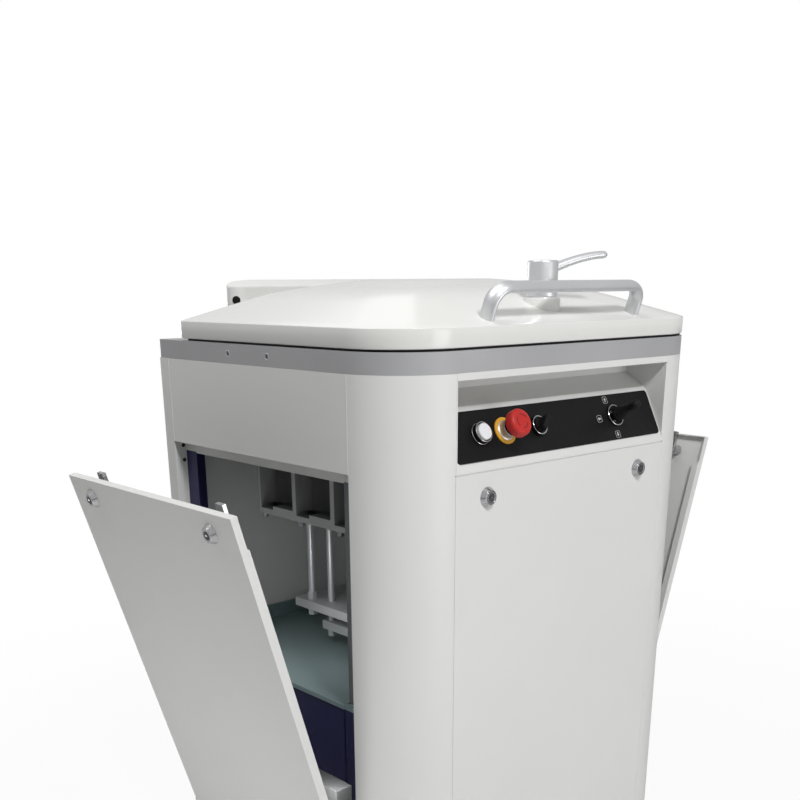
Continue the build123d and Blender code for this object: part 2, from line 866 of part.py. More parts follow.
lock_cam_left_front = lock_cam(left_plane, side_lock_u, side_lock_v, 1)
lock_cam_left_front.part.label = "lock_cam_left_front"
export_step(lock_cam_left_front.part, "parts/lock_cam_left_front.step")
lock_cam_left_rear = lock_cam(left_plane, -side_lock_u, side_lock_v, 1)
lock_cam_left_rear.part.label = "lock_cam_left_rear"
export_step(lock_cam_left_rear.part, "parts/lock_cam_left_rear.step")
lock_cam_right_front = lock_cam(right_plane, -side_lock_u, side_lock_v, 1)
lock_cam_right_front.part.label = "lock_cam_right_front"
export_step(lock_cam_right_front.part, "parts/lock_cam_right_front.step")
lock_cam_right_rear = lock_cam(right_plane, side_lock_u, side_lock_v, 1)
lock_cam_right_rear.part.label = "lock_cam_right_rear"
export_step(lock_cam_right_rear.part, "parts/lock_cam_right_rear.step")
lock_cam_front_left = lock_cam(front_plane, -front_lock_x, front_lock_v, -1)
lock_cam_front_left.part.label = "lock_cam_front_left"
export_step(lock_cam_front_left.part, "parts/lock_cam_front_left.step")
lock_cam_front_right = lock_cam(front_plane, front_lock_x, front_lock_v, -1)
lock_cam_front_right.part.label = "lock_cam_front_right"
export_step(lock_cam_front_right.part, "parts/lock_cam_front_right.step")

# Control console: recess profile, then the folded housing round it
slope_foot_z = slope_low - (slope_front - front_y) * slope_rise / slope_run
holes = [(button_x, barrel_radius), (estop_x, barrel_radius), (selector_x, barrel_radius),
         (joystick_x, joystick_barrel_radius)]
with BuildSketch(Plane.YZ) as recess:
    with BuildLine():
        Polyline((front_y, slope_foot_z), (slope_top_y, slope_top_z), (recess_back_y, recess_back_z),
                 (recess_back_y, console_ceiling), (front_y, console_ceiling), close=True)
    make_face()
with BuildPart() as console_housing:
    with BuildSketch(Plane.YZ.offset(-console_half)):
        add(recess.sketch_local)
        offset(amount=sheet, kind=Kind.INTERSECTION)
        area(front_y - 4 * sheet, front_y, console_bottom - 4 * sheet, ring_bottom, Mode.SUBTRACT)
    extrude(amount=2 * console_half)
    with BuildSketch(Plane.YZ.offset(-console_half + sheet)):
        add(recess.sketch_local)
    extrude(amount=2 * (console_half - sheet), mode=Mode.SUBTRACT)
    block(-console_half, console_half, front_y, front_y + sheet, console_bottom, slope_foot_z)
    block(-console_half, console_half, front_y, front_y + sheet, console_ceiling, ring_bottom)
    for x, radius in holes:
        with BuildSketch(local_plane(slope_plane, x, control_row)):
            Circle(radius + pin_fit)
        extrude(amount=2 * sheet, both=True, mode=Mode.SUBTRACT)
console_housing.part.label = "console_housing"
export_step(console_housing.part, "parts/console_housing.step")

with BuildPart() as console_plate:
    with BuildSketch(slope_plane):
        with Locations((0, (plate_low + plate_high) / 2)):
            RectangleRounded(2 * plate_half, plate_high - plate_low, plate_radius)
        for x, radius in holes:
            with Locations((x, control_row)):
                Circle(radius + pin_fit, mode=Mode.SUBTRACT)
    extrude(amount=plate_thick)
console_plate.part.label = "console_plate"
export_step(console_plate.part, "parts/console_plate.step")


def control_plane(x):
    """Plane on the face of the control plate at one control."""
    return local_plane(slope_plane, x, control_row, plate_thick)


button_plane = control_plane(button_x)
estop_plane = control_plane(estop_x)
selector_plane = control_plane(selector_x)
joystick_plane = control_plane(joystick_x)

with BuildPart(button_plane) as button_bezel:
    rod(0, 0, 0, button_bezel_height, bezel_radius)
    rod(0, 0, -barrel_back, 0, barrel_radius)
    rod(0, 0, button_floor, button_bezel_height, button_radius + moving_gap, Mode.SUBTRACT)
    rod(0, 0, -barrel_back, button_floor, control_stem + pin_fit, Mode.SUBTRACT)
with BuildPart(estop_plane) as estop_sleeve:
    rod(0, 0, estop_collar_height, estop_sleeve_top, estop_sleeve_radius)
    rod(0, 0, -barrel_back, estop_collar_height, barrel_radius)
    rod(0, 0, -barrel_back, estop_sleeve_top, estop_stem + pin_fit, Mode.SUBTRACT)
with BuildPart(selector_plane) as selector_bezel:
    rod(0, 0, 0, selector_bezel_height, bezel_radius)
    rod(0, 0, -barrel_back, 0, barrel_radius)
    rod(0, 0, -barrel_back, selector_bezel_height, control_stem + pin_fit, Mode.SUBTRACT)
with BuildPart(joystick_plane) as joystick_bezel:
    rod(0, 0, 0, joystick_bezel_height, joystick_bezel_radius)
    rod(0, 0, -barrel_back, 0, joystick_barrel_radius)
    rod(0, 0, joystick_floor, joystick_bezel_height, joystick_bezel_inner, Mode.SUBTRACT)
    rod(0, 0, -barrel_back, joystick_floor, joystick_barrel_bore, Mode.SUBTRACT)
    with Locations((0, 0, -joystick_pivot_depth)):
        Cylinder(gimbal_pin + running_fit, 2 * joystick_barrel_radius, rotation=(0, 90, 0), mode=Mode.SUBTRACT)
with BuildPart() as control_bezels:
    add(button_bezel.part)
    add(estop_sleeve.part)
    add(selector_bezel.part)
    add(joystick_bezel.part)
control_bezels.part.label = "control_bezels"
export_step(control_bezels.part, "parts/control_bezels.step")

outwards = Axis((0, 0, 0), slope_plane.z_dir)
with BuildPart(estop_plane) as estop_collar:
    rod(0, 0, 0, estop_collar_height, estop_collar_radius)
    chamfer(estop_collar.edges().filter_by(GeomType.CIRCLE).sort_by(outwards)[-1], estop_collar_height / 3)
    rod(0, 0, 0, estop_collar_height, barrel_radius + pin_fit, Mode.SUBTRACT)
estop_collar.part.label = "estop_collar"
export_step(estop_collar.part, "parts/estop_collar.step")

button_low = button_floor + button_travel + moving_gap
with BuildPart(button_plane) as push_button:
    rod(0, 0, button_low, button_top, button_radius)
    fillet(push_button.edges().filter_by(GeomType.CIRCLE).sort_by(outwards)[-1], sheet)
    rod(0, 0, -barrel_back / 2, button_low, control_stem)
push_button.part.label = "push_button"
export_step(push_button.part, "parts/push_button.step")

with BuildPart(estop_plane) as estop_button:
    rod(0, 0, estop_low, estop_top, estop_radius)
    fillet(estop_button.edges().filter_by(GeomType.CIRCLE).sort_by(outwards)[-1], estop_head / 3)
    chamfer(estop_button.edges().filter_by(GeomType.CIRCLE).sort_by(outwards)[0], estop_head / 5)
    rod(0, 0, -barrel_back / 2, estop_low, estop_stem)
estop_button.part.label = "estop_button"
export_step(estop_button.part, "parts/estop_button.step")

with BuildPart(selector_plane) as selector_knob:
    rod(0, 0, selector_bezel_height + moving_gap, selector_disc_top, selector_disc_radius)
    with Locations((0, 0, selector_disc_top)):
        Box(selector_wing_length, selector_wing_width, selector_top - selector_disc_top,
            rotation=(0, 0, selector_angle), align=(Align.CENTER, Align.CENTER, Align.MIN))
    fillet(selector_knob.faces().sort_by(outwards)[-1].edges(), selector_wing_width / 4)
    rod(0, 0, -barrel_back / 2, selector_bezel_height + moving_gap, control_stem)
selector_knob.part.label = "selector_knob"
export_step(selector_knob.part, "parts/selector_knob.step")

with BuildPart(joystick_plane) as joystick_gimbal:
    pivot = -joystick_pivot_depth
    with Locations((0, 0, pivot)):
        Cylinder(gimbal_radius, gimbal_height)
        Cylinder(gimbal_pin, 2 * gimbal_pin_reach, rotation=(0, 90, 0))
        Cylinder(gimbal_bore, gimbal_height, mode=Mode.SUBTRACT)
        Cylinder(gimbal_pin + running_fit, 2 * gimbal_radius, rotation=(90, 0, 0), mode=Mode.SUBTRACT)
joystick_gimbal.part.label = "joystick_gimbal"
export_step(joystick_gimbal.part, "parts/joystick_gimbal.step")

rib_step = (boot_top - boot_base) / boot_ribs
boot_taper = (boot_radius - boot_top_radius) / boot_ribs
with BuildPart(joystick_plane) as joystick:
    for rib in range(boot_ribs):
        low = boot_base + rib * rib_step
        wide = boot_radius - rib * boot_taper
        rod(0, 0, low, low + rib_step / 2, wide)
        rod(0, 0, low + rib_step / 2, low + rib_step, wide - boot_groove)
    rod(0, 0, -stick_stem_end, boot_base, stick_stem)
    rod(0, 0, boot_top, bulb_centre, stick_radius)
    with Locations((0, 0, bulb_centre)):
        Sphere(bulb_radius)
    with Locations((0, 0, -joystick_pivot_depth)):
        Cylinder(gimbal_pin, 2 * stick_pin_reach, rotation=(90, 0, 0))
joystick.part.label = "joystick"
export_step(joystick.part, "parts/joystick.step")

# Ring round the pan
with BuildPart() as top_ring:
    with BuildSketch(Plane.XY.offset(ring_bottom)):
        add(plan_face(half_width, front_y, rear_y, corner_radius, rear_radius))
        with Locations((0, pan_y)):
            RectangleRounded(2 * (pan_half_x + pan_wall + pan_fit), 2 * (pan_half_y + pan_wall + pan_fit),
                             pan_wall + pan_radius + pan_fit, mode=Mode.SUBTRACT)
    extrude(amount=ring_height)
    block(-latch_slot_half, latch_slot_half, latch_slot_front, latch_slot_rear, ring_bottom, ring_top,
          Mode.SUBTRACT)
    rod(0, latch_y, ring_bottom, ring_bottom + latch_pocket_depth, latch_pocket_radius, Mode.SUBTRACT)
    for side in (-1, 1):
        for y in (side_hole_front_y, side_hole_rear_y):
            with Locations((side * half_width, y, side_hole_z)):
                Cylinder(side_hole_radius, 2 * side_hole_radius, rotation=(0, 90, 0), mode=Mode.SUBTRACT)
top_ring.part.label = "top_ring"
export_step(top_ring.part, "parts/top_ring.step")

with BuildPart() as pan_casting:
    with BuildSketch(Plane.XY.offset(level(flange_low))):
        with Locations((0, pan_y)):
            RectangleRounded(2 * (pan_half_x + pan_wall), 2 * (pan_half_y + pan_wall), pan_wall + pan_radius)
    extrude(amount=flange_low)
    with BuildSketch(Plane.XY.offset(level(skirt_low))):
        with Locations((0, pan_y)):
            Rectangle(2 * skirt_half_x, 2 * skirt_half_y)
    extrude(amount=skirt_low - flange_high)
    block(-lug_x, lug_x, pan_y - lug_half, pan_y + lug_half, ring_bottom - lug_thick, ring_bottom)
    with BuildSketch(Plane.XY.offset(level(flange_low))):
        with Locations((0, pan_y)):
            RectangleRounded(2 * pan_half_x, 2 * pan_half_y, pan_radius)
    extrude(amount=flange_low, mode=Mode.SUBTRACT)
    with BuildSketch(Plane.XY.offset(level(skirt_low))):
        with Locations((0, pan_y)):
            Rectangle(2 * cavity_half_x, 2 * cavity_half_y)
    extrude(amount=skirt_low - flange_low, mode=Mode.SUBTRACT)
    with BuildSketch(Plane.XY.offset(level(pocket_low))):
        with Locations((-skirt_half_x, pan_y), (skirt_half_x, pan_y)):
            with GridLocations(0, pocket_pitch, 1, pockets):
                RectangleRounded(2 * pocket_depth, pocket_width, pocket_radius)
    extrude(amount=pocket_low - pocket_high, mode=Mode.SUBTRACT)
    with BuildSketch(Plane.XY.offset(level(pocket_low + pocket_slot_drop))):
        with Locations((-skirt_half_x, pan_y + slot_shift), (skirt_half_x, pan_y + slot_shift)):
            with GridLocations(0, pocket_pitch, 1, pockets):
                Rectangle(2 * pocket_depth, pocket_slot)
    extrude(amount=pocket_slot_drop, mode=Mode.SUBTRACT)
pan_casting.part.label = "pan_casting"
export_step(pan_casting.part, "parts/pan_casting.step")

# Plungers, knife and their drives
head_x = cell_x - blade - 2 * blade_gap
head_y = cell_y - blade - 2 * blade_gap
with BuildPart() as press_plungers:
    with Locations((0, pan_y, level(head_top + head_thick / 2))):
        with GridLocations(cell_x, cell_y, cells_x, cells_y):
            Box(head_x, head_y, head_thick)
    stem_length = press_plate_top - head_top - head_thick
    with Locations((0, pan_y, level(press_plate_top - stem_length / 2))):
        with GridLocations(cell_x, cell_y, cells_x, cells_y):
            Cylinder(stem_radius, stem_length)
press_plungers.part.label = "press_plungers"
export_step(press_plungers.part, "parts/press_plungers.step")

press_plate_low = press_plate_top + press_plate_thick
with BuildPart() as press_plate:
    with BuildSketch(Plane.XY.offset(level(press_plate_low))):
        with Locations((0, pan_y)):
            Rectangle(2 * press_half_x, 2 * press_half_y)
            Rectangle(2 * (knife_bar_half + bar_fit), knife_bar_width + 2 * bar_fit, mode=Mode.SUBTRACT)
    extrude(amount=press_plate_thick)
press_plate.part.label = "press_plate"
export_step(press_plate.part, "parts/press_plate.step")

rod_low = crosshead_low + push_rod_tail
with BuildPart() as push_rods:
    with Locations((0, pan_y, level((press_plate_low + rod_low) / 2))):
        with GridLocations(2 * push_rod_x, 2 * push_rod_y, 2, 2):
            Cylinder(push_rod_radius, rod_low - press_plate_low)
    for height in (level(crosshead_top), level(crosshead_low) - nut_height):
        with BuildSketch(Plane.XY.offset(height)):
            with Locations((0, pan_y)):
                with GridLocations(2 * push_rod_x, 2 * push_rod_y, 2, 2):
                    RegularPolygon(nut_radius, 6)
        extrude(amount=nut_height)
push_rods.part.label = "push_rods"
export_step(push_rods.part, "parts/push_rods.step")

with BuildPart() as press_crosshead:
    with BuildSketch(Plane.XY.offset(level(crosshead_low))):
        with Locations((0, pan_y)):
            Rectangle(2 * crosshead_half_x, 2 * crosshead_half_y)
            with GridLocations(2 * push_rod_x, 2 * push_rod_y, 2, 2):
                Circle(push_rod_radius, mode=Mode.SUBTRACT)
            with GridLocations(2 * column_x, 2 * column_y, 2, 2):
                Circle(column_radius + running_fit, mode=Mode.SUBTRACT)
            with GridLocations(2 * knife_rod_x, 0, 2, 1):
                Circle(knife_rod_radius + bar_fit, mode=Mode.SUBTRACT)
    extrude(amount=crosshead_thick)
press_crosshead.part.label = "press_crosshead"
export_step(press_crosshead.part, "parts/press_crosshead.step")

with BuildPart() as press_piston:
    rod(0, pan_y, piston_foot, level(crosshead_low), piston_radius)
press_piston.part.label = "press_piston"
export_step(press_piston.part, "parts/press_piston.step")

with BuildPart() as knife_grid:
    with Locations((0, pan_y, level(blade_low - blade_height / 2))):
        with GridLocations(cell_x, 0, cells_x - 1, 1):
            Box(blade, 2 * blade_half_y, blade_height)
        with GridLocations(0, cell_y, 1, cells_y - 1):
            Box(2 * blade_half_x, blade, blade_height)
    block(-knife_bar_half, knife_bar_half, pan_y - blade / 2, pan_y + blade / 2, level(knife_bar_top),
          level(blade_low))
    block(-knife_bar_half, knife_bar_half, pan_y - knife_bar_width / 2, pan_y + knife_bar_width / 2,
          level(knife_bar_low), level(knife_bar_top))
knife_grid.part.label = "knife_grid"
export_step(knife_grid.part, "parts/knife_grid.step")

with BuildPart() as knife_rods:
    for side in (-1, 1):
        rod(side * knife_rod_x, pan_y, knife_rod_foot, level(knife_bar_low), knife_rod_radius)
knife_rods.part.label = "knife_rods"
export_step(knife_rods.part, "parts/knife_rods.step")

with BuildPart() as column_plate:
    with BuildSketch(Plane.XY.offset(level(column_plate_low))):
        with Locations((0, pan_y)):
            Rectangle(2 * column_plate_half_x, 2 * column_plate_half_y)
            Circle(piston_radius + bar_fit, mode=Mode.SUBTRACT)
            with GridLocations(2 * knife_rod_x, 0, 2, 1):
                Circle(knife_rod_radius + bar_fit, mode=Mode.SUBTRACT)
            with GridLocations(2 * column_x, 2 * column_y, 2, 2):
                Circle(column_radius, mode=Mode.SUBTRACT)
    extrude(amount=column_plate_thick)
    with BuildSketch(Plane.XY.offset(shelf_top)):
        with Locations((0, pan_y)):
            with GridLocations(2 * spacer_x, 2 * column_y, 2, 2):
                Rectangle(spacer_size, spacer_size)
    extrude(amount=spacer_height)
column_plate.part.label = "column_plate"
export_step(column_plate.part, "parts/column_plate.step")

column_tail = column_plate_low + nut_height
with BuildPart() as guide_columns:
    with BuildSketch(Plane.XY.offset(level(column_tail))):
        with Locations((0, pan_y)):
            with GridLocations(2 * column_x, 2 * column_y, 2, 2):
                Circle(column_radius)
    extrude(amount=column_tail - column_head)
    with BuildSketch(Plane.XY.offset(level(column_tail))):
        with Locations((0, pan_y)):
            with GridLocations(2 * column_x, 2 * column_y, 2, 2):
                RegularPolygon(nut_radius, 6)
    extrude(amount=nut_height)
guide_columns.part.label = "guide_columns"
export_step(guide_columns.part, "parts/guide_columns.step")

with BuildPart() as shelf_plate:
    with BuildSketch(Plane.XY.offset(shelf_low)):
        notch_x = rear_column_x - rear_column_width / 2 - shelf_notch
        notch_y = rear_column_front - shelf_notch
        area(-shelf_half, shelf_half, shelf_front, notch_y)
        area(-notch_x, notch_x, notch_y, shelf_rear)
        area(-shelf_tab_half, shelf_tab_half, shelf_tab_front, shelf_tab_rear)
        with Locations((0, pan_y)):
            Circle(piston_radius + bar_fit, mode=Mode.SUBTRACT)
            with GridLocations(2 * knife_rod_x, 0, 2, 1):
                Circle(knife_rod_radius + bar_fit, mode=Mode.SUBTRACT)
    extrude(amount=shelf_thick)
    block(-notch_x, notch_x, shelf_rear - shelf_upstand_thick, shelf_rear, shelf_low, shelf_top + shelf_upstand)
shelf_plate.part.label = "shelf_plate"
export_step(shelf_plate.part, "parts/shelf_plate.step")

carrier_low = shelf_low - carrier_height
arm_half = carrier_arm_width / 2
with BuildPart() as shelf_carrier:
    block(-carrier_half, carrier_half, carrier_front, carrier_rear, carrier_low, shelf_low)
    block(-carrier_half + carrier_wall, carrier_half - carrier_wall, carrier_front + carrier_wall,
          carrier_rear - carrier_wall, carrier_low, shelf_low, Mode.SUBTRACT)
    for side in (-1, 1):
        near = side * front_column_x
        block(near - arm_half, near + arm_half, front_column_back, carrier_front,
              shelf_low - carrier_arm_height, shelf_low)
        far = side * rear_column_x
        block(far - arm_half, far + arm_half, carrier_rear, rear_column_front,
              shelf_low - carrier_arm_height, shelf_low)
shelf_carrier.part.label = "shelf_carrier"
export_step(shelf_carrier.part, "parts/shelf_carrier.step")

with BuildPart() as press_cylinder:
    rod(0, pan_y, cylinder_bottom, shelf_low, press_cylinder_radius)
    rod(0, pan_y, cylinder_bottom + cylinder_floor, shelf_low, piston_radius + running_fit, Mode.SUBTRACT)
press_cylinder.part.label = "press_cylinder"
export_step(press_cylinder.part, "parts/press_cylinder.step")

with BuildPart() as knife_cylinders:
    for side in (-1, 1):
        rod(side * knife_rod_x, pan_y, cylinder_bottom, shelf_low, knife_cylinder_radius)
        rod(side * knife_rod_x, pan_y, cylinder_bottom + cylinder_floor, shelf_low,
            knife_rod_radius + running_fit, Mode.SUBTRACT)
knife_cylinders.part.label = "knife_cylinders"
export_step(knife_cylinders.part, "parts/knife_cylinders.step")

with BuildPart() as oil_tank:
    block(tank_left, tank_right, tank_front, tank_rear, base_top, tank_top)
    block(tank_left + tank_wall, tank_right - tank_wall, tank_front + tank_wall, tank_rear - tank_wall,
          base_top + tank_wall, tank_top - tank_wall, Mode.SUBTRACT)
    rod((tank_left + tank_right) / 2, tank_rear - tank_cap_inset, tank_top, tank_top + tank_cap_height,
        tank_cap_radius)
oil_tank.part.label = "oil_tank"
export_step(oil_tank.part, "parts/oil_tank.step")

motor_z = base_top + motor_foot_height + motor_radius
with BuildPart() as pump_motor:
    with Locations((motor_x, motor_y, motor_z)):
        Cylinder(motor_radius, motor_length, rotation=(90, 0, 0))
    block(motor_x - motor_foot_width / 2, motor_x + motor_foot_width / 2, motor_y - motor_length / 4,
          motor_y + motor_length / 4, base_top, motor_z - motor_radius / 2)
pump_motor.part.label = "pump_motor"
export_step(pump_motor.part, "parts/pump_motor.step")

with BuildPart() as pump_block:
    block(motor_x - pump_width / 2, motor_x + pump_width / 2, pump_front, pump_front + pump_length,
          base_top, base_top + pump_height)
    with Locations((motor_x, (pump_front + pump_length + motor_y - motor_length / 2) / 2, motor_z)):
        Cylinder(motor_radius / 2, motor_y - motor_length / 2 - pump_front - pump_length, rotation=(90, 0, 0))
pump_block.part.label = "pump_block"
export_step(pump_block.part, "parts/pump_block.step")

# Feet and wheels
foot_ceiling = base_top - base_wall
with BuildPart() as levelling_feet:
    for side in (-1, 1):
        rod(side * foot_x, foot_y, 0, foot_pad_height, foot_pad_radius)
        rod(side * foot_x, foot_y, foot_pad_height, foot_ceiling, foot_stem_radius)
        rod(side * foot_x, foot_y, foot_ceiling - foot_nut_height, foot_ceiling, foot_nut_radius)
levelling_feet.part.label = "levelling_feet"
export_step(levelling_feet.part, "parts/levelling_feet.step")

cheek = wheel_width / 2 + bracket_gap
with BuildPart() as wheel_brackets:
    for side in (-1, 1):
        middle = side * wheel_x
        block(middle - cheek - bracket_thick, middle + cheek + bracket_thick, wheel_y - bracket_half,
              wheel_y + bracket_half, foot_ceiling - bracket_thick, foot_ceiling)
        for cheek_side in (-1, 1):
            inner = middle + cheek_side * cheek
            block(inner, inner + cheek_side * bracket_thick, wheel_y - bracket_half, wheel_y + bracket_half,
                  bracket_low, foot_ceiling)
        with Locations((middle, wheel_y, wheel_radius)):
            Cylinder(axle_radius, 2 * (cheek + bracket_thick), rotation=(0, 90, 0))
wheel_brackets.part.label = "wheel_brackets"
export_step(wheel_brackets.part, "parts/wheel_brackets.step")


def rear_wheel(side):
    """Solid wheel with a running bore, axis along X."""
    middle = Plane(origin=(side * wheel_x, wheel_y, wheel_radius), x_dir=(0, 1, 0), z_dir=(1, 0, 0))
    with BuildPart(middle) as built:
        rod(0, 0, -wheel_width / 2, wheel_width / 2, wheel_radius)
        fillet(built.edges().filter_by(GeomType.CIRCLE), wheel_edge)
        rod(0, 0, -wheel_width / 2, wheel_width / 2, axle_radius + running_fit, Mode.SUBTRACT)
    return built


rear_wheel_left = rear_wheel(-1)
rear_wheel_left.part.label = "rear_wheel_left"
export_step(rear_wheel_left.part, "parts/rear_wheel_left.step")
rear_wheel_right = rear_wheel(1)
rear_wheel_right.part.label = "rear_wheel_right"
export_step(rear_wheel_right.part, "parts/rear_wheel_right.step")


# Lid: hollow crown with a flange for the seal and two ribs over the pressing plate
def crown(inset, low, knee, top):
    """Rim and crown as a solid, drawn in by an inset."""
    with BuildPart() as built:
        with BuildSketch(Plane.XY.offset(low)):
            add(plan_face(half_width - inset, front_y + inset, lid_rear - inset, corner_radius - inset,
                          lid_rear_radius - inset))
        extrude(amount=knee - low)
        with BuildSketch(Plane.XY.offset(knee)):
            add(plan_face(half_width - inset, front_y + inset, lid_rear - inset, corner_radius - inset,
                          lid_rear_radius - inset))
        with BuildSketch(Plane.XY.offset(knee + shoulder_rise * (top - knee))):
            add(plan_face(shoulder_half - inset, shoulder_front + inset, shoulder_rear - inset,
                          shoulder_front_radius - inset, shoulder_rear_radius - inset))
        with BuildSketch(Plane.XY.offset(top)):
            add(plan_face(plateau_half - inset, plateau_front + inset, plateau_rear - inset,
                          plateau_radius - inset, plateau_radius - inset))
        loft(ruled=True)
    return built


lid_outside = crown(0, lid_bottom, rim_top, crown_top)
lid_hollow = crown(lid_wall, lid_bottom + lid_flange_thick, rim_top - lid_wall, crown_top - lid_wall)
press_lid_low = ring_top + press_lid_gap
press_lid_top = press_lid_low + press_lid_thick
with BuildPart() as lid_inside:
    add(lid_hollow.part)
    for side in (-1, 1):
        middle = side * lid_rib_x
        block(middle - lid_rib_thick / 2, middle + lid_rib_thick / 2, lid_rib_front, lid_rib_rear,
              press_lid_top, crown_top, Mode.SUBTRACT)
    rod(0, latch_y, boss_low, boss_top, boss_radius, Mode.SUBTRACT)
with BuildPart() as lid_shell:
    add(lid_outside.part)
    rod(0, latch_y, boss_low, boss_top, boss_radius)
    add(lid_inside.part, mode=Mode.SUBTRACT)
    with BuildSketch(Plane.XY.offset(lid_bottom)):
        add(plan_face(half_width - lid_flange, front_y + lid_flange, lid_rear - lid_flange,
                      corner_radius - lid_flange, lid_rear_radius / 2))
    extrude(amount=lid_flange_thick, mode=Mode.SUBTRACT)
    rod(0, latch_y, boss_top, crown_top, hub_radius + boss_seat_gap, Mode.SUBTRACT)
    rod(0, latch_y, boss_low, boss_top, spindle_radius + running_fit, Mode.SUBTRACT)
lid_shell.part.label = "lid_shell"
export_step(lid_shell.part, "parts/lid_shell.step")

with BuildPart() as lid_press_plate:
    block(-press_lid_half, press_lid_half, press_lid_front, press_lid_rear, press_lid_low, press_lid_top)
lid_press_plate.part.label = "lid_press_plate"
export_step(lid_press_plate.part, "parts/lid_press_plate.step")

seal_inner = seal_inset + seal_width
with BuildPart() as lid_seal:
    with BuildSketch(Plane.XY.offset(ring_top + moving_gap)):
        add(plan_face(half_width - seal_inset, front_y + seal_inset, lid_rear - seal_inset,
                      corner_radius - seal_inset, lid_rear_radius - seal_inset))
        add(plan_face(half_width - seal_inner, front_y + seal_inner, lid_rear - seal_inner,
                      corner_radius - seal_inner, lid_rear_radius / 2), mode=Mode.SUBTRACT)
    extrude(amount=lid_gap - moving_gap)
lid_seal.part.label = "lid_seal"
export_step(lid_seal.part, "parts/lid_seal.step")

handle_foot_z = rim_top + (handle_foot_y - front_y) * crown_slope
handle_plane = Plane(origin=(0, handle_foot_y, handle_foot_z), x_dir=(1, 0, 0), z_dir=(0, -1, -crown_slope))
foot_plane = Plane(origin=handle_plane.from_local_coords((-handle_foot_x, 0, 0)), x_dir=(1, 0, 0),
                   z_dir=(0, -crown_slope, 1))
with BuildPart() as lid_handle:
    with BuildLine(handle_plane) as handle_path:
        corners = Polyline((-handle_foot_x, 0), (-handle_foot_x, handle_height),
                           (handle_foot_x, handle_height), (handle_foot_x, 0))
        fillet(handle_path.vertices().sort_by(Axis.Z)[2:], handle_bend)
    with BuildSketch(foot_plane):
        Ellipse(handle_tall / 2, handle_deep / 2)
    sweep()
lid_handle.part.label = "lid_handle"
export_step(lid_handle.part, "parts/lid_handle.step")

arm_x = cos(radians(arm_turn))
arm_y = sin(radians(arm_turn))


def arm_plane(share):
    """Plane across the lever arm at a share of its reach."""
    reach = arm_start + share * (arm_reach - arm_start)
    rise = arm_rise * sin(radians(90 * share))
    middle = (reach * arm_x, latch_y + reach * arm_y, arm_low + rise)
    return Plane(origin=middle, x_dir=(-arm_y, arm_x, 0), z_dir=(arm_x, arm_y, 0))


with BuildPart() as lever_arm:
    for section in range(arm_sections):
        share = section / (arm_sections - 1)
        with BuildSketch(arm_plane(share)):
            Ellipse((arm_width + share * (arm_tip_width - arm_width)) / 2,
                    (arm_thick + share * (arm_tip_thick - arm_thick)) / 2)
    loft()
with BuildPart() as lid_lever:
    rod(0, latch_y, hub_low, hub_top, hub_radius)
    fillet(lid_lever.edges().filter_by(GeomType.CIRCLE).sort_by(Axis.Z)[-1], hub_edge)
    add(lever_arm.part)
    rod(0, latch_y, level(latch_head_low), hub_low, spindle_radius)
    block(-latch_head_length / 2, latch_head_length / 2, latch_y - latch_head_width / 2,
          latch_y + latch_head_width / 2, level(latch_head_low), level(latch_head_top))
lid_lever.part.label = "lid_lever"
export_step(lid_lever.part, "parts/lid_lever.step")

# Lid hinge
pad_z = (hinge_pad_low + hinge_pad_high) / 2
run = Vector(0, hinge_y - lid_rear, hinge_z - pad_z).normalized()
edge_y = hinge_arm_half * run.Z
edge_z = hinge_arm_half * run.Y
with BuildPart() as hinge_arms:
    for side in (-1, 1):
        with BuildSketch(Plane.YZ.offset(side * hinge_arm_x)):
            with BuildLine():
                Polyline((lid_rear, hinge_pad_low), (lid_rear, hinge_pad_high),
                         (hinge_y - edge_y, hinge_z + edge_z), (hinge_y + edge_y, hinge_z - edge_z), close=True)
            make_face()
            with Locations((hinge_y, hinge_z)):
                Circle(hinge_eye_radius)
        extrude(amount=hinge_arm_width / 2, both=True)
        block(side * hinge_arm_x - hinge_pad_width / 2, side * hinge_arm_x + hinge_pad_width / 2, lid_rear,
              lid_rear + hinge_pad_thick, hinge_pad_low, hinge_pad_high)
    with Locations((0, hinge_y, hinge_z)):
        Cylinder(hinge_shaft_radius, 2 * hinge_shaft_half, rotation=(0, 90, 0))
hinge_arms.part.label = "hinge_arms"
export_step(hinge_arms.part, "parts/hinge_arms.step")

with BuildPart() as hinge_blocks:
    for side in (-1, 1):
        middle = side * hinge_block_x
        block(middle - hinge_block_width / 2, middle + hinge_block_width / 2, hinge_y - hinge_block_depth / 2,
              hinge_y + hinge_block_depth / 2, ring_top, hinge_block_top)
    fillet(hinge_blocks.edges().filter_by(Axis.X).group_by(Axis.Z)[-1], hinge_block_depth / 4)
    with Locations((0, hinge_y, hinge_z)):
        Cylinder(hinge_shaft_radius + running_fit, 2 * hinge_shaft_half, rotation=(0, 90, 0), mode=Mode.SUBTRACT)
hinge_blocks.part.label = "hinge_blocks"
export_step(hinge_blocks.part, "parts/hinge_blocks.step")


def cover_body(inset):
    """Rounded cover volume drawn in by an inset, flat below."""
    with BuildPart() as built:
        block(-cover_half + inset, cover_half - inset, cover_front + inset, cover_rear - inset, ring_top,
              cover_top - inset)
        fillet(built.edges().filter_by(Axis.Z), cover_corner - inset)
        fillet(built.faces().sort_by(Axis.Z)[-1].edges(), cover_corner - inset)
    return built


cover_outside = cover_body(0)
cover_inside = cover_body(sheet)
with BuildPart() as hinge_cover:
    add(cover_outside.part)
    add(cover_inside.part, mode=Mode.SUBTRACT)
    for side in (-1, 1):
        middle = side * hinge_arm_x
        block(middle - cover_slot_width / 2, middle + cover_slot_width / 2, cover_front - sheet,
              cover_front + 2 * sheet, ring_top, cover_slot_top, Mode.SUBTRACT)
hinge_cover.part.label = "hinge_cover"
export_step(hinge_cover.part, "parts/hinge_cover.step")

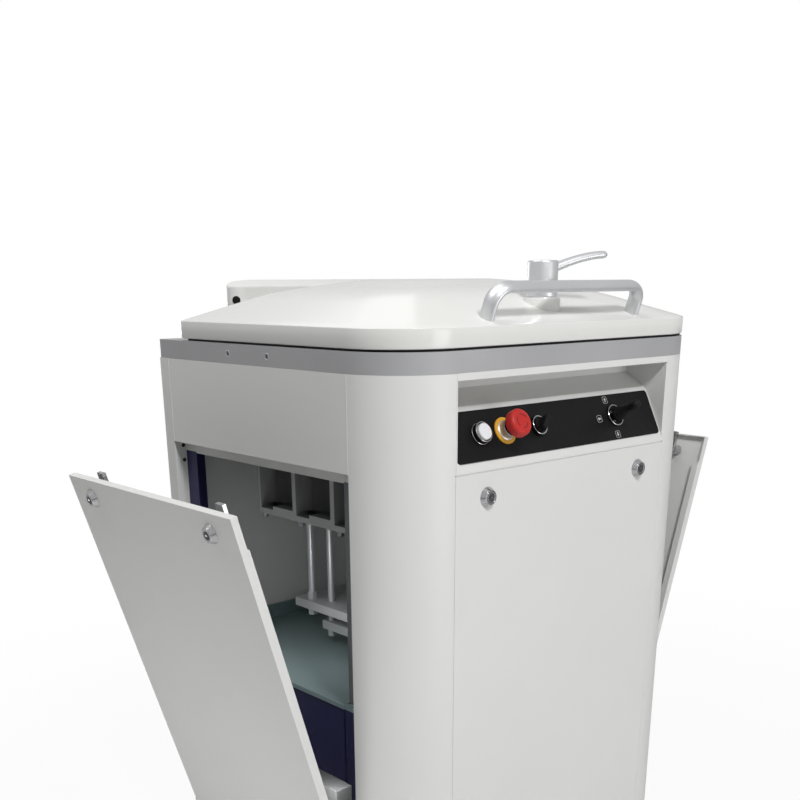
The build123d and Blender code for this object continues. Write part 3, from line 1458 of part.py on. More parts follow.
with BuildPart() as hinge_plugs:
    for side in (-1, 1):
        with Locations((side * plug_x, cover_front - plug_thick / 2, hinge_z)):
            Cylinder(plug_radius, plug_thick, rotation=(90, 0, 0))
    fillet(hinge_plugs.edges().filter_by(GeomType.CIRCLE).group_by(Axis.Y)[0], plug_thick / 2)
hinge_plugs.part.label = "hinge_plugs"
export_step(hinge_plugs.part, "parts/hinge_plugs.step")
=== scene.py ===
import json
from math import cos, pi, radians, sin, tan

import bmesh
import bpy
from mathutils import Matrix, Vector


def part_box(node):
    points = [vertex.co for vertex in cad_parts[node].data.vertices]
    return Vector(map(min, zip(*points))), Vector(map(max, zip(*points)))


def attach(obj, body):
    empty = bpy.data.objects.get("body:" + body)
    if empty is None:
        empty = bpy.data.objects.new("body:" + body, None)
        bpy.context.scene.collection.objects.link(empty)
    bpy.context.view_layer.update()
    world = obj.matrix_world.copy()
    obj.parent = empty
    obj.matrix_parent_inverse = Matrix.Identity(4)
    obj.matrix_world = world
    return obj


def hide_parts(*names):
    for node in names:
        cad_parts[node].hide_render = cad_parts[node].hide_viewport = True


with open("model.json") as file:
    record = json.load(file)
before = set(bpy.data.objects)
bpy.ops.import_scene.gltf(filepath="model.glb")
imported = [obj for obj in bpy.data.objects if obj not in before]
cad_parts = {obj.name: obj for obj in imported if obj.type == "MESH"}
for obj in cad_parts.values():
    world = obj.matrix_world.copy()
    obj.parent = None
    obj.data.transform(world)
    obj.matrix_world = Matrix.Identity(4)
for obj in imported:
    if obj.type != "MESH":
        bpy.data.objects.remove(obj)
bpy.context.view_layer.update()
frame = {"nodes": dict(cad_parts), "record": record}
scene = bpy.context.scene
scene.view_settings.view_transform = "Standard"

# Sizes in metres, as in the solids, and angles in degrees; X to the right from the front, Y to the back, Z up
SIDES = (-1, 1)
LATCH_Y = -0.2305
SLOPE_RUN, SLOPE_RISE = 0.456561, 0.889693
SLOPE = Matrix(((1, 0, 0), (0, SLOPE_RUN, -SLOPE_RISE), (0, SLOPE_RISE, SLOPE_RUN)))
SLOPE_FOOT = Vector((0, -0.294, 0.825))
CONTROL_ROW = 0.0425
PLATE = 0.002
TINY = 1e-6
FLAT_ANGLE = 0.5
CRISP_ANGLE = 30
EDGE_ANGLE = 32
EDGE_STEPS = 2


class Value:
    """A socket that takes part in arithmetic: each operator adds one Math node."""

    def __init__(self, graph, socket):
        self.graph = graph
        self.socket = socket

    def math(self, operation, first, second):
        return self.graph.node("ShaderNodeMath", {"operation": operation}, {0: first, 1: second})

    def __add__(self, other):
        return self.math("ADD", self, other)

    def __radd__(self, other):
        return self.math("ADD", other, self)

    def __mul__(self, other):
        return self.math("MULTIPLY", self, other)

    def __rmul__(self, other):
        return self.math("MULTIPLY", other, self)

    def __truediv__(self, other):
        return self.math("DIVIDE", self, other)

    def __rtruediv__(self, other):
        return self.math("DIVIDE", other, self)


class Graph:
    """Adds nodes to one tree: type, settings, then the values or links of the sockets."""

    def __init__(self, tree):
        self.tree = tree

    def node(self, kind, settings=None, sockets=None, out=0):
        made = self.tree.nodes.new(kind)
        for name, value in (settings or {}).items():
            if name == "stops":
                for stop, (place, grey) in zip(made.color_ramp.elements, value):
                    stop.position = place
                    stop.color = (grey, grey, grey, 1)
            else:
                setattr(made, name, value)
        for key, value in (sockets or {}).items():
            self.feed(made.inputs[key], value)
        return Value(self, made.outputs[out])

    def feed(self, socket, value):
        if isinstance(value, Value):
            self.tree.links.new(value.socket, socket)
        else:
            socket.default_value = value


class Finish(Graph):
    """A surface material on the principled shader, patterned in object coordinates."""

    def __init__(self, name, **constants):
        self.material = bpy.data.materials.new(name)
        self.material.use_nodes = True
        super().__init__(self.material.node_tree)
        self.shader = self.tree.nodes["Principled BSDF"]
        for socket, value in constants.items():
            self.shader.inputs[socket.replace("_", " ")].default_value = value
        self.place = self.node("ShaderNodeTexCoord", out="Object")

    def noise(self, scale, detail=2.0, stretch=None):
        place = self.place
        if stretch:
            place = self.node("ShaderNodeMapping", None, {"Vector": place, "Scale": stretch})
        return self.node("ShaderNodeTexNoise", None, {"Vector": place, "Scale": scale, "Detail": detail})

    def ramp(self, value, low, high):
        return self.node("ShaderNodeValToRGB", {"stops": [(low, 0.0), (high, 1.0)]}, {"Fac": value})

    def mix(self, share, first, second):
        """Mix of two colours, which are a Mix node's sockets 6 and 7."""
        return self.node("ShaderNodeMix", {"data_type": "RGBA"}, {0: share, 6: first, 7: second}, out=2)

    def clouded(self, colour):
        """Cast skin: broad darker clouds in the colour."""
        cloud = self.ramp(self.noise(scale=7.0, detail=4.0), low=0.25, high=0.8)
        return self.mix(cloud, shade(colour, CAST_SHADE), colour)

    def colour(self, value):
        self.feed(self.shader.inputs["Base Color"], value)

    def roughness(self, value):
        self.feed(self.shader.inputs["Roughness"], value)

    def bump(self, height, distance):
        relief = self.node("ShaderNodeBump", None, {"Height": height, "Distance": distance, "Strength": 1.0})
        self.feed(self.shader.inputs["Normal"], relief)


def tone(red, green, blue):
    """Linear colour from sRGB display values between 0 and 255."""
    parts = [part / 255 for part in (red, green, blue)]
    return (*[((p + 0.055) / 1.055) ** 2.4 if p > 0.04045 else p / 12.92 for p in parts], 1)


def shade(colour, factor):
    return (*[part * factor for part in colour[:3]], 1)


# Set values of the finishes: shades of their patches, spreads of roughness, relief
PAINT_SHADE, PAINT_GLOSS, FINE_PEEL = 0.972, 0.08, 0.3
LINE_SHADE, LINE_GLOSS, WIPED_GLOSS = 0.82, 0.14, 0.06
CAST_SHADE, CAST_GLOSS = 0.86, 0.12
# The pocket factor is painted shade: it darkens the casting's colour inside its pockets
POCKET_PAINTED_SHADE, POCKET_METALLIC, POCKET_GRAIN = 0.12, 0.2, 0.0002
MOULD_DARK, MOULD_LIGHT, MOULD_DROP, MOULD_GLOSS = 0.86, 1.08, 0.05, 0.12


def powder_paint(name, colour, rough, peel=0.00006):
    """Sprayed powder paint: faint clouding, orange-peel ripple, a little uneven in gloss."""
    made = Finish(name, Specular_IOR_Level=0.45)
    cloud = made.ramp(made.noise(scale=3.5, detail=3.0), low=0.3, high=0.7)
    made.colour(made.mix(cloud, shade(colour, PAINT_SHADE), colour))
    made.roughness(rough - PAINT_GLOSS / 2 + made.noise(scale=60.0) * PAINT_GLOSS)
    made.bump(made.noise(scale=420.0, detail=1.0) + made.noise(scale=1500.0, detail=1.0) * FINE_PEEL, peel)
    return made.material


def ground_metal(name, colour, rough, stretch, depth=0.00001, metallic=1.0):
    """Ground or drawn metal: fine lines along one axis that change its gloss."""
    made = Finish(name, Metallic=metallic)
    lines = made.noise(scale=1.0, detail=3.0, stretch=stretch)
    made.colour(made.mix(lines, shade(colour, LINE_SHADE), colour))
    made.roughness(rough + lines * LINE_GLOSS + made.noise(scale=9.0) * WIPED_GLOSS)
    made.bump(lines, depth)
    return made.material


def cast_metal(name, colour, rough, metallic, scale=650.0, depth=0.00012):
    """Blasted or cast metal: an even grain with broad darker clouds."""
    made = Finish(name, Metallic=metallic)
    grain = made.noise(scale, detail=3.0)
    made.colour(made.clouded(colour))
    made.roughness(rough + grain * CAST_GLOSS)
    made.bump(grain, depth)
    return made.material


def casting_with_painted_pocket_shade(name, colour, rough, inner, outer):
    """Casting with painted shade: its colour darkens from an outer to an inner distance off the middle, in
    the pockets.
    """
    made = Finish(name, Metallic=POCKET_METALLIC)
    grain = made.noise(scale=380.0, detail=3.0)
    across = made.node("ShaderNodeSeparateXYZ", None, {0: made.place}, out="X")
    depth = made.node("ShaderNodeMath", {"operation": "ABSOLUTE"}, {0: across})
    skin = made.node("ShaderNodeMapRange", None, {"Value": depth, "From Min": inner, "From Max": outer})
    # Painted shade: the skin share darkens the colour towards the middle, inside the pockets
    made.colour(made.mix(skin, shade(colour, POCKET_PAINTED_SHADE), made.clouded(colour)))
    made.roughness(rough + grain * CAST_GLOSS)
    made.bump(grain, POCKET_GRAIN)
    return made.material


def moulded(name, colour, rough, coat=0.0, scale=900.0, depth=0.00004, shine=0.5):
    """Moulded plastic or rubber: slight cloud in the colour and a fine mould grain."""
    made = Finish(name, Coat_Weight=coat, Coat_Roughness=0.12, Specular_IOR_Level=shine)
    made.colour(made.mix(made.noise(scale=40.0), shade(colour, MOULD_DARK), shade(colour, MOULD_LIGHT)))
    made.roughness(rough - MOULD_DROP + made.noise(scale=130.0) * MOULD_GLOSS)
    made.bump(made.noise(scale, detail=1.0), depth)
    return made.material


body_white = powder_paint("body_paint", tone(222, 222, 220), rough=0.42)
lid_white = powder_paint("lid_paint", tone(228, 228, 225), rough=0.15, peel=0.000015)
navy = powder_paint("navy_paint", tone(24, 26, 74), rough=0.4)
tank_grey = powder_paint("tank_paint", tone(226, 228, 228), rough=0.35)
# Painted shade: grey so that the front lips above the shelf look as dark as the shaded inner wall
lip_painted_shade_grey = powder_paint("lip_painted_shade", tone(104, 108, 110), rough=0.45)
motor_grey = powder_paint("motor_paint", tone(70, 76, 82), rough=0.5)
ring_grey = cast_metal("ring_blasted", tone(176, 176, 178), rough=0.5, metallic=0.25)
# Pan casting with painted shade inside its pockets
pan_grey_painted_shade = casting_with_painted_pocket_shade("pan_casting", tone(188, 189, 190), rough=0.45, inner=0.228, outer=0.2525)
plate_grey = cast_metal("plate_ground", tone(184, 185, 186), rough=0.45, metallic=0.3, scale=500.0,
                        depth=0.0001)
satin_silver = cast_metal("satin_silver", tone(220, 221, 223), rough=0.34, metallic=0.85, scale=900.0,
                          depth=0.00004)
steel_upright = ground_metal("steel_turned", tone(200, 202, 204), rough=0.34, stretch=(900, 900, 12),
                             metallic=0.6)
steel_flat = ground_metal("steel_ground", tone(170, 172, 174), rough=0.28, stretch=(10, 700, 700))
shelf_teal = ground_metal("shelf_steel", tone(150, 170, 172), rough=0.24, stretch=(700, 9, 700),
                          metallic=0.45)
chrome = ground_metal("lock_chrome", tone(196, 196, 198), rough=0.08, stretch=(300, 300, 300), depth=0.000003)
recess_grey = ground_metal("lock_recess", tone(84, 84, 86), rough=0.3, stretch=(300, 300, 300),
                           depth=0.000003, metallic=0.7)
console_black = moulded("console_film", tone(12, 12, 13), rough=0.5, scale=1400.0, depth=0.00002, shine=0.18)
black_plastic = moulded("black_plastic", tone(11, 11, 12), rough=0.45, shine=0.2)
black_rubber = moulded("black_rubber", tone(9, 9, 10), rough=0.55, shine=0.2)
yellow_plastic = moulded("yellow_plastic", tone(228, 170, 44), rough=0.4)
red_plastic = moulded("red_plastic", tone(186, 46, 42), rough=0.42, shine=0.25)
red_mark = moulded("red_mark", tone(120, 18, 16), rough=0.45)
white_plastic = moulded("white_plastic", tone(232, 232, 234), rough=0.22, coat=0.3)
plunger_plastic = moulded("plunger_plastic", tone(226, 226, 218), rough=0.45)
wheel_grey = moulded("wheel_plastic", tone(84, 86, 90), rough=0.5)
mark_white = moulded("mark_white", tone(200, 200, 198), rough=0.5)
# Near-black for the discs that stand for screw holes: painted shade
hole_painted_shade = moulded("hole_painted_shade", tone(14, 14, 15), rough=0.6)

SLOT_FINISH = {
    "body_white": body_white, "lid_white": lid_white, "navy_paint": navy, "tank_paint": tank_grey,
    "motor_paint": motor_grey, "shelf_steel": shelf_teal, "console_black": console_black,
    "ring_aluminium": ring_grey, "cast_aluminium": pan_grey_painted_shade, "satin_aluminium": satin_silver,
    "bright_steel": steel_flat, "bezel_metal": black_plastic, "lock_chrome": chrome,
    "black_plastic": black_plastic, "black_rubber": black_rubber, "yellow_plastic": yellow_plastic,
    "red_plastic": red_plastic, "white_plastic": white_plastic, "plunger_plastic": plunger_plastic,
    "wheel_plastic": wheel_grey,
}
behaviour = frame["record"]["behaviour"]
node_slot = {part["node"]: part["material_slot"] for part in frame["record"]["subparts"]}
node_body = {node: body for body, members in behaviour["bodies"].items() for node in members}


def creased(name, work, sharp):
    """The plain mesh of a bmesh: smooth, with edges sharper than an angle kept crisp."""
    for face in work.faces:
        face.smooth = True
    for edge in work.edges:
        edge.smooth = edge.is_manifold and edge.calc_face_angle(0) < radians(sharp)
    mesh = bpy.data.meshes.new(name)
    work.to_mesh(mesh)
    work.free()
    return mesh


def settled(name, mesh, body, slot, material=None, replaced=()):
    """Puts a mesh on its body, with its own finish or its slot's, standing for the nodes that it replaces."""
    mesh.materials.clear()
    mesh.materials.append(material or SLOT_FINISH[slot])
    piece = bpy.data.objects.new(name, mesh)
    scene.collection.objects.link(piece)
    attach(piece, body)
    if replaced:
        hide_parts(*replaced)
    return piece


def finished(name, work, body, slot, material=None, replaced=(), sharp=CRISP_ANGLE):
    """A closed mesh as a piece of the object, with its faces turned outwards."""
    bmesh.ops.recalc_face_normals(work, faces=work.faces)
    settled(name, creased(name, work, sharp), body, slot, material, replaced)


def dressed(node, edge, material=None):
    """A CAD node with its edges broken and its round faces smooth, standing for the node."""
    work = bmesh.new()
    work.from_mesh(frame["nodes"][node].data)
    bmesh.ops.remove_doubles(work, verts=work.verts, dist=TINY)
    bmesh.ops.dissolve_limit(work, angle_limit=radians(FLAT_ANGLE), verts=work.verts, edges=work.edges)
    name = node + "_dressed"
    mesh = creased(name, work, EDGE_ANGLE)
    piece = settled(name, mesh, node_body[node], node_slot[node], material, [node])
    if edge:
        rounding = piece.modifiers.new("edges", "BEVEL")
        rounding.width = edge
        rounding.segments = EDGE_STEPS
        rounding.limit_method = "ANGLE"
        rounding.angle_limit = radians(EDGE_ANGLE)
        rounding.harden_normals = True


def between(pair, share):
    """Value a share of the way from the first of a pair to the second."""
    return pair[0] + share * (pair[1] - pair[0])


def turns(steps):
    """Angles of equal steps round a circle, in radians."""
    return [2 * pi * step / steps for step in range(steps)]


def sweep(start, extent, steps):
    """Angles of equal steps over an extent, ends included, in radians."""
    return [radians(start + extent * step / steps) for step in range(steps + 1)]


def lathe(work, profile, matrix, steps, hollow=False):
    """Turns radius and height pairs round a frame's Z; hollow joins the last pair to the first."""
    rings = []
    for radius, height in profile:
        if radius < TINY:
            rings.append([work.verts.new(matrix @ Vector((0, 0, height)))])
        else:
            rings.append([work.verts.new(matrix @ Vector((radius * cos(a), radius * sin(a), height)))
                          for a in turns(steps)])
    pairs = list(zip(rings, rings[1:])) + ([(rings[-1], rings[0])] if hollow else [])
    for low, high in pairs:
        for step in range(steps):
            after = (step + 1) % steps
            corners = [ring[place % len(ring)] for ring, place in ((low, step), (low, after), (high, after),
                                                                   (high, step))]
            corners = list(dict.fromkeys(corners))
            if len(corners) > 2:
                work.faces.new(corners)
    for ring in (rings[0], rings[-1]):
        if len(ring) > 1 and not hollow:
            work.faces.new(ring)


def turned(name, profile, matrix, body, slot, material=None, *, steps, hollow=False, sharp=CRISP_ANGLE):
    """A piece turned from one profile."""
    work = bmesh.new()
    lathe(work, profile, matrix, steps, hollow)
    finished(name, work, body, slot, material, sharp=sharp)


def loft(work, rings, looped=False):
    """Skins a row of equal rings, with a cap on the first and last, or joined into a loop."""
    rows = [[work.verts.new(point) for point in ring] for ring in rings]
    count = len(rows[0])
    for low, high in list(zip(rows, rows[1:])) + ([(rows[-1], rows[0])] if looped else []):
        for step in range(count):
            after = (step + 1) % count
            work.faces.new((low[step], low[after], high[after], high[step]))
    if not looped:
        work.faces.new(rows[0])
        work.faces.new(rows[-1])


def upright(work, outline, low, high):
    """Skins an outline in plan between two heights."""
    loft(work, [[Vector((x, y, z)) for x, y in outline] for z in (low, high)])


def mirrored(side, outline):
    """An outline that is drawn for the right, on either side of the machine."""
    return [(side * x, other) for x, other in outline]


def slope_frame(x, along=CONTROL_ROW):
    """Frame on the console's film: X across, Y up the slope, Z out of it."""
    place = SLOPE_FOOT + SLOPE @ Vector((x, along, PLATE))
    return Matrix.Translation(place) @ SLOPE.to_4x4()


def reach(node, place, direction):
    """How far a node stands out from a place along a direction."""
    return max((vertex.co - place).dot(direction) for vertex in frame["nodes"][node].data.vertices)


def middle_x(node):
    low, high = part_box(node)
    return (low.x + high.x) / 2


def facing(place, direction):
    """Frame at a place with its Z along a direction."""
    turn = Vector(direction).to_track_quat("Z", "Y")
    return Matrix.Translation(place) @ turn.to_matrix().to_4x4()


def repeated(name, body, slot, instances, **values):
    """Like pieces set out by a geometry tree with named inputs, turned into one plain mesh."""
    tree = bpy.data.node_groups.new(name, "GeometryNodeTree")
    tree.interface.new_socket("Geometry", in_out="OUTPUT", socket_type="NodeSocketGeometry")
    keys = {}
    for label, value in values.items():
        kind = "Int" if isinstance(value, int) else "Float" if isinstance(value, float) else "Vector"
        socket = tree.interface.new_socket(label, in_out="INPUT", socket_type="NodeSocket" + kind)
        keys[label] = socket.identifier
    graph = Graph(tree)
    given = tree.nodes.new("NodeGroupInput")
    placed = instances(graph, {label: Value(graph, given.outputs[label]) for label in values})
    plain = graph.node("GeometryNodeRealizeInstances", None, {"Geometry": placed})
    coloured = graph.node("GeometryNodeSetMaterial", None, {"Geometry": plain, "Material": SLOT_FINISH[slot]})
    graph.feed(tree.nodes.new("NodeGroupOutput").inputs["Geometry"], coloured)
    host = bpy.data.objects.new(name + "_rule", bpy.data.meshes.new(name + "_rule"))
    scene.collection.objects.link(host)
    rule = host.modifiers.new("rule", "NODES")
    rule.node_group = tree
    for label, value in values.items():
        rule[keys[label]] = value
    depsgraph = bpy.context.evaluated_depsgraph_get()
    mesh = bpy.data.meshes.new_from_object(host.evaluated_get(depsgraph), depsgraph=depsgraph)
    host.modifiers.remove(rule)
    bpy.data.objects.remove(host)
    mesh.name = name
    settled(name, mesh, body, slot)


# Screw heads: share of the height that is chamfered, and width of the top
HEAD_CHAMFER, HEAD_TOP = 0.3, 0.78


def row_of_points(graph, given):
    return graph.node("GeometryNodeMeshLine", {"mode": "OFFSET"}, {
        "Count": given["Count"], "Start Location": given["Start"], "Offset": given["Step"]})


def screw_row(graph, given):
    """Chamfered heads in a row, each turned by chance about its own axis."""
    shank = graph.node("GeometryNodeMeshCylinder", None, {
        "Vertices": given["Sides"], "Radius": given["Radius"],
        "Depth": given["Height"] * (2 * (1 - HEAD_CHAMFER))})
    top = graph.node("GeometryNodeMeshCone", None, {
        "Vertices": given["Sides"], "Radius Top": given["Radius"] * HEAD_TOP,
        "Radius Bottom": given["Radius"], "Depth": given["Height"] * HEAD_CHAMFER})
    lift = graph.node("ShaderNodeCombineXYZ", None, {"Z": given["Height"] * (1 - HEAD_CHAMFER)})
    top = graph.node("GeometryNodeTransform", None, {"Geometry": top, "Translation": lift})
    head = graph.node("GeometryNodeJoinGeometry", None, {"Geometry": shank})
    graph.feed(head.socket.node.inputs["Geometry"], top)
    heads = graph.node("GeometryNodeInstanceOnPoints", None, {
        "Points": row_of_points(graph, given), "Instance": head, "Rotation": given["Turn"]})
    # Sockets 2, 3 and 8 are the least, the most and the seed of a random number
    chance = graph.node("FunctionNodeRandomValue", {"data_type": "FLOAT"},
                        {2: 0.0, 3: 2 * pi, 8: given["Seed"]}, out=1)
    spin = graph.node("ShaderNodeCombineXYZ", None, {"Z": chance})
    return graph.node("GeometryNodeRotateInstances", None, {"Instances": heads, "Rotation": spin})


def fin_ring(graph, given):
    """Straight fins round a barrel that lies along Y."""
    points = graph.node("GeometryNodeMeshCircle", None, {
        "Vertices": given["Count"], "Radius": given["Radius"]})
    fin = graph.node("GeometryNodeMeshCube", None, {"Size": given["Fin"]})
    turn = graph.node("GeometryNodeInputIndex") * 2 * pi / given["Count"]
    spin = graph.node("ShaderNodeCombineXYZ", None, {"Z": turn})
    ring = graph.node("GeometryNodeInstanceOnPoints", None, {
        "Points": points, "Instance": fin, "Rotation": spin})
    return graph.node("GeometryNodeTransform", None, {
        "Geometry": ring, "Translation": given["Middle"], "Rotation": (pi / 2, 0, 0)})


def louvre_row(graph, given):
    """Pressed hoods, each a round bulge along X that is half sunk in the cover."""
    bulge = graph.node("GeometryNodeMeshCylinder", None, {
        "Vertices": 16, "Side Segments": 6, "Radius": given["Radius"], "Depth": given["Length"]})
    return graph.node("GeometryNodeInstanceOnPoints", None, {
        "Points": row_of_points(graph, given), "Instance": bulge, "Rotation": (0, pi / 2, 0)})


# Camera at the photograph's angle
yaw, pitch, roll = radians(41.826), radians(19.839), radians(-0.416)
level_ahead = Vector((sin(yaw), cos(yaw), 0))
level_right = Vector((cos(yaw), -sin(yaw), 0))
ahead = level_ahead * cos(pitch) - Vector((0, 0, 1)) * sin(pitch)
upwards = Vector((0, 0, 1)) * cos(pitch) + level_ahead * sin(pitch)
right = level_right * cos(roll) + upwards * sin(roll)
top = upwards * cos(roll) - level_right * sin(roll)
lens = bpy.data.cameras.new("camera")
lens.lens = 47.49
lens.sensor_width = 36.0
lens.shift_y = 0.3267
camera = bpy.data.objects.new("camera", lens)
camera.matrix_world = Matrix((right, top, -ahead)).transposed().to_4x4()
camera.location = (-1.2611, -1.3190, 1.0675)
scene.collection.objects.link(camera)
scene.camera = camera

# Room: white to the eye, half as bright in reflections, soft light for the rest
AMBIENT = 0.17
GLOSS_SHARE = 0.5
world = bpy.data.worlds.new("studio")
world.use_nodes = True
scene.world = world
air = Graph(world.node_tree)
path = {name: air.node("ShaderNodeLightPath", out=name)
        for name in ("Is Camera Ray", "Is Glossy Ray", "Is Transmission Ray")}
seen = path["Is Camera Ray"] + path["Is Transmission Ray"] + path["Is Glossy Ray"] * GLOSS_SHARE
backdrop = world.node_tree.nodes["Background"]
backdrop.inputs["Color"].default_value = (1, 1, 1, 1)
air.feed(backdrop.inputs["Strength"], AMBIENT + (1 - AMBIENT) * seen)

# Floor: matt, with a share of its own white to the eye that grows away from the machine
FLOOR_HALF = 9
floor_finish = bpy.data.materials.new("floor")
floor_finish.use_nodes = True
floor_nodes = floor_finish.node_tree.nodes
floor_nodes.remove(floor_nodes["Principled BSDF"])
ground = Graph(floor_finish.node_tree)
matt = ground.node("ShaderNodeBsdfDiffuse", None, {"Color": (0.8, 0.8, 0.8, 1)})
glow = ground.node("ShaderNodeEmission", None, {"Color": (1, 1, 1, 1), "Strength": 1.0})
spot = ground.node("ShaderNodeNewGeometry", out="Position")
away = ground.node("ShaderNodeVectorMath", {"operation": "LENGTH"}, {0: spot}, out="Value")
share = ground.node("ShaderNodeMapRange", None, {
    "Value": away, "From Min": 0.9, "From Max": 2.2, "To Min": 0.93, "To Max": 1.0})
direct = ground.node("ShaderNodeLightPath", out="Is Camera Ray")
blend_floor = ground.node("ShaderNodeMixShader", None, {0: direct * share, 1: matt, 2: glow})
ground.feed(floor_nodes["Material Output"].inputs["Surface"], blend_floor)
floor_mesh = bpy.data.meshes.new("floor")
floor_corners = [(FLOOR_HALF * x, FLOOR_HALF * y, 0) for x, y in ((-1, -1), (1, -1), (1, 1), (-1, 1))]
floor_mesh.from_pydata(floor_corners, [], [(0, 1, 2, 3)])
floor_mesh.materials.append(floor_finish)
floor = bpy.data.objects.new("floor", floor_mesh)
scene.collection.objects.link(floor)

# Square soft boxes: place, the point that each faces, width and power in watts
LAMPS = {
    "key": ((-0.85, -2.3, 3.18), (0, -0.1, 0.7), 0.6, 65),
    "overhead": ((-0.5, 0.2, 3.1), (0, 0, 0.9), 1.2, 8.3),
    "left_overhead": ((-1.3, 0.5, 2.9), (0, 0, 0.9), 1.0, 16.5),
    "lid_gloss": ((1.05, 1.85, 2.75), (-0.27, -0.22, 1.03), 1.1, 2.3),
    "front_fill": ((0.5, -2.6, 0.5), (0.1, -0.2, 0.6), 1.2, 14.5),
    "back_fill": ((0.3, 2.7, 0.75), (0, 0.3, 0.6), 1.2, 18),
    "floor_bounce": ((-0.95, -0.05, 0.04), (-0.43, 0, 0.3), 0.5, 1.45),
    "inside": ((-0.305, -0.02, 0.60), (-0.1, 0.12, 0.46), 0.04, 0.102),
    "tank_gap": ((-0.328, -0.10, 0.315), (-0.27, -0.04, 0.2), 0.02, 0.025),
}
for name, (place, target, size, power) in LAMPS.items():
    light = bpy.data.lights.new(name, "AREA")
    light.size = size
    light.energy = power
    holder = bpy.data.objects.new(name, light)
    holder.location = place
    holder.rotation_euler = (Vector(target) - Vector(place)).to_track_quat("-Z", "Y").to_euler()
    holder.visible_camera = False
    scene.collection.objects.link(holder)

# Covers, frame, drive and controls take over the solids, with the width of their broken edges
BROKEN_EDGES = {
    "front_corner_left": 0.0006, "front_corner_right": 0.0006, "upper_side_left": 0.0009,
    "upper_side_right": 0.0009, "side_panel_left": 0.0009, "side_panel_right": 0.0009, "front_panel": 0.0009,
    "rear_cover": 0.0006, "console_housing": 0.0008, "console_plate": 0.0004, "top_ring": 0.0012,
    "pan_casting": 0.0015, "base_frame": 0.0012, "frame_columns": 0.001, "shelf_plate": 0.0008,
    "shelf_carrier": 0.001, "hinge_blocks": 0.001, "hinge_arms": 0.001, "oil_tank": 0.003,
    "pump_block": 0.002, "pump_motor": 0.002, "wheel_brackets": 0.0006, "levelling_feet": 0.001,
    "estop_collar": 0.0003, "control_bezels": 0.0005, "cable_gland": 0.0005, "lid_press_plate": 0.002,
    "lid_seal": 0.0006, "press_plungers": 0.001, "selector_knob": 0.0004, "push_button": 0.0004,
    "estop_button": 0.0012, "joystick": 0.0006,
}
TURNED = ("guide_columns", "push_rods", "press_piston", "knife_rods", "press_cylinder", "knife_cylinders")
PLATES = ("column_plate", "press_crosshead", "press_plate")
LOCK_HEADS = ("lock_heads_left", "lock_heads_right", "lock_heads_front")
LOCK_CAMS = [node for node in node_slot if node.startswith("lock_cam_")]
for node, edge in BROKEN_EDGES.items():
    dressed(node, edge)
for nodes, edge, material in ((TURNED, 0.0006, steel_upright), (PLATES, 0.001, plate_grey),
                              (LOCK_HEADS, 0.0005, chrome), (LOCK_CAMS, 0.0006, chrome),
                              (("knife_grid", "joystick_gimbal"), 0.0002, steel_flat),
                              (("rear_wheel_left", "rear_wheel_right"), 0, wheel_grey)):
    for node in nodes:
        dressed(node, edge, material)

# Locks: a grey key recess with a three-sided pin in each insert, turning with it; profiles as radius and
# height over the insert's face
LOCK_PIN = [(0, 0.0013), (0.0018, 0.0013), (0.0023, 0.0008), (0.0023, -0.0004), (0, -0.0004)]
KEY_RECESS = [(0, 0.0002), (0.0034, 0.0002), (0.0055, 0.0006), (0.0062, 0.0004), (0.0062, -0.0004),
              (0, -0.0004)]
for joint in behaviour["joints"]:
    if joint["name"].endswith("_lock_turn"):
        lock = joint["child"]
        place = Vector(joint["pos_m"])
        out = Vector(joint["axis"])
        if out.x * place.x + out.y * place.y < 0:
            out = -out
        face = reach("lock_cam_" + lock.removesuffix("_lock"), place, out)
        pin, recess = ([(radius, face + height) for radius, height in profile]
                       for profile in (LOCK_PIN, KEY_RECESS))
        turned(lock + "_pin", pin, facing(place, out), lock, "lock_chrome", steps=3)
        turned(lock + "_recess", recess, facing(place, out), lock, "black_plastic", recess_grey, steps=32)

# Console rings: control, inner and outer radius, lower and upper edge over the film
CONTROL_RINGS = (("push_button", 0.0138, 0.0151, 0.0096, 0.0102),
                 ("push_button", 0.0150, 0.0160, 0.0018, 0.0026),
                 ("selector_knob", 0.0127, 0.0146, 0.0056, 0.0067),
                 ("joystick", 0.0158, 0.0172, 0.0026, 0.0036))
RING_BREAK, INNER_DROP, OUTER_DROP = 0.0004, 0.0002, 0.0003
control_frame = {node: slope_frame(middle_x(node))
                 for node in ("push_button", "estop_button", "selector_knob", "joystick")}
rings = bmesh.new()
for node, inner, outer, low, high in CONTROL_RINGS:
    section = [(inner, low), (inner, high - INNER_DROP), (inner + RING_BREAK, high),
               (outer - RING_BREAK, high), (outer, high - OUTER_DROP), (outer, low)]
    lathe(rings, section, control_frame[node], steps=56, hollow=True)
finished("control_rings", rings, "cabinet", "bezel_metal", chrome)

# Stop button: sleeve and collar bead as radius and height over the film, raised arcs as radius and height
# over its head
SLEEVE = [(0.01255, 0.003), (0.01255, 0.0138), (0.0130, 0.0138), (0.0134, 0.0132), (0.0134, 0.0044),
          (0.0150, 0.003)]
COLLAR_BEAD = [(0.0152, 0.0028), (0.0155, 0.0034), (0.0162, 0.0036), (0.0168, 0.0033), (0.0170, 0.0028)]
ARC_SECTION = ((0.0088, -0.0006), (0.0092, 0.0003), (0.0108, 0.0003), (0.0112, -0.0006))
ARC_STARTS, ARC_EXTENT, ARC_STEPS = (20, 140, 260), 80, 12
stop = control_frame["estop_button"]
turned("estop_sleeve", SLEEVE, stop, "cabinet", "satin_aluminium", steps=48, hollow=True)
turned("estop_collar_bead", COLLAR_BEAD, stop, "cabinet", "yellow_plastic", steps=56, hollow=True)
stop_face = reach("estop_button", stop.translation, SLOPE.col[2])
arcs = bmesh.new()
for start in ARC_STARTS:
    loft(arcs, [[stop @ Vector((radius * cos(angle), radius * sin(angle), stop_face + proud))
                 for radius, proud in ARC_SECTION] for angle in sweep(start, ARC_EXTENT, ARC_STEPS)])
finished("estop_arcs", arcs, "estop_button", "red_plastic", red_mark)

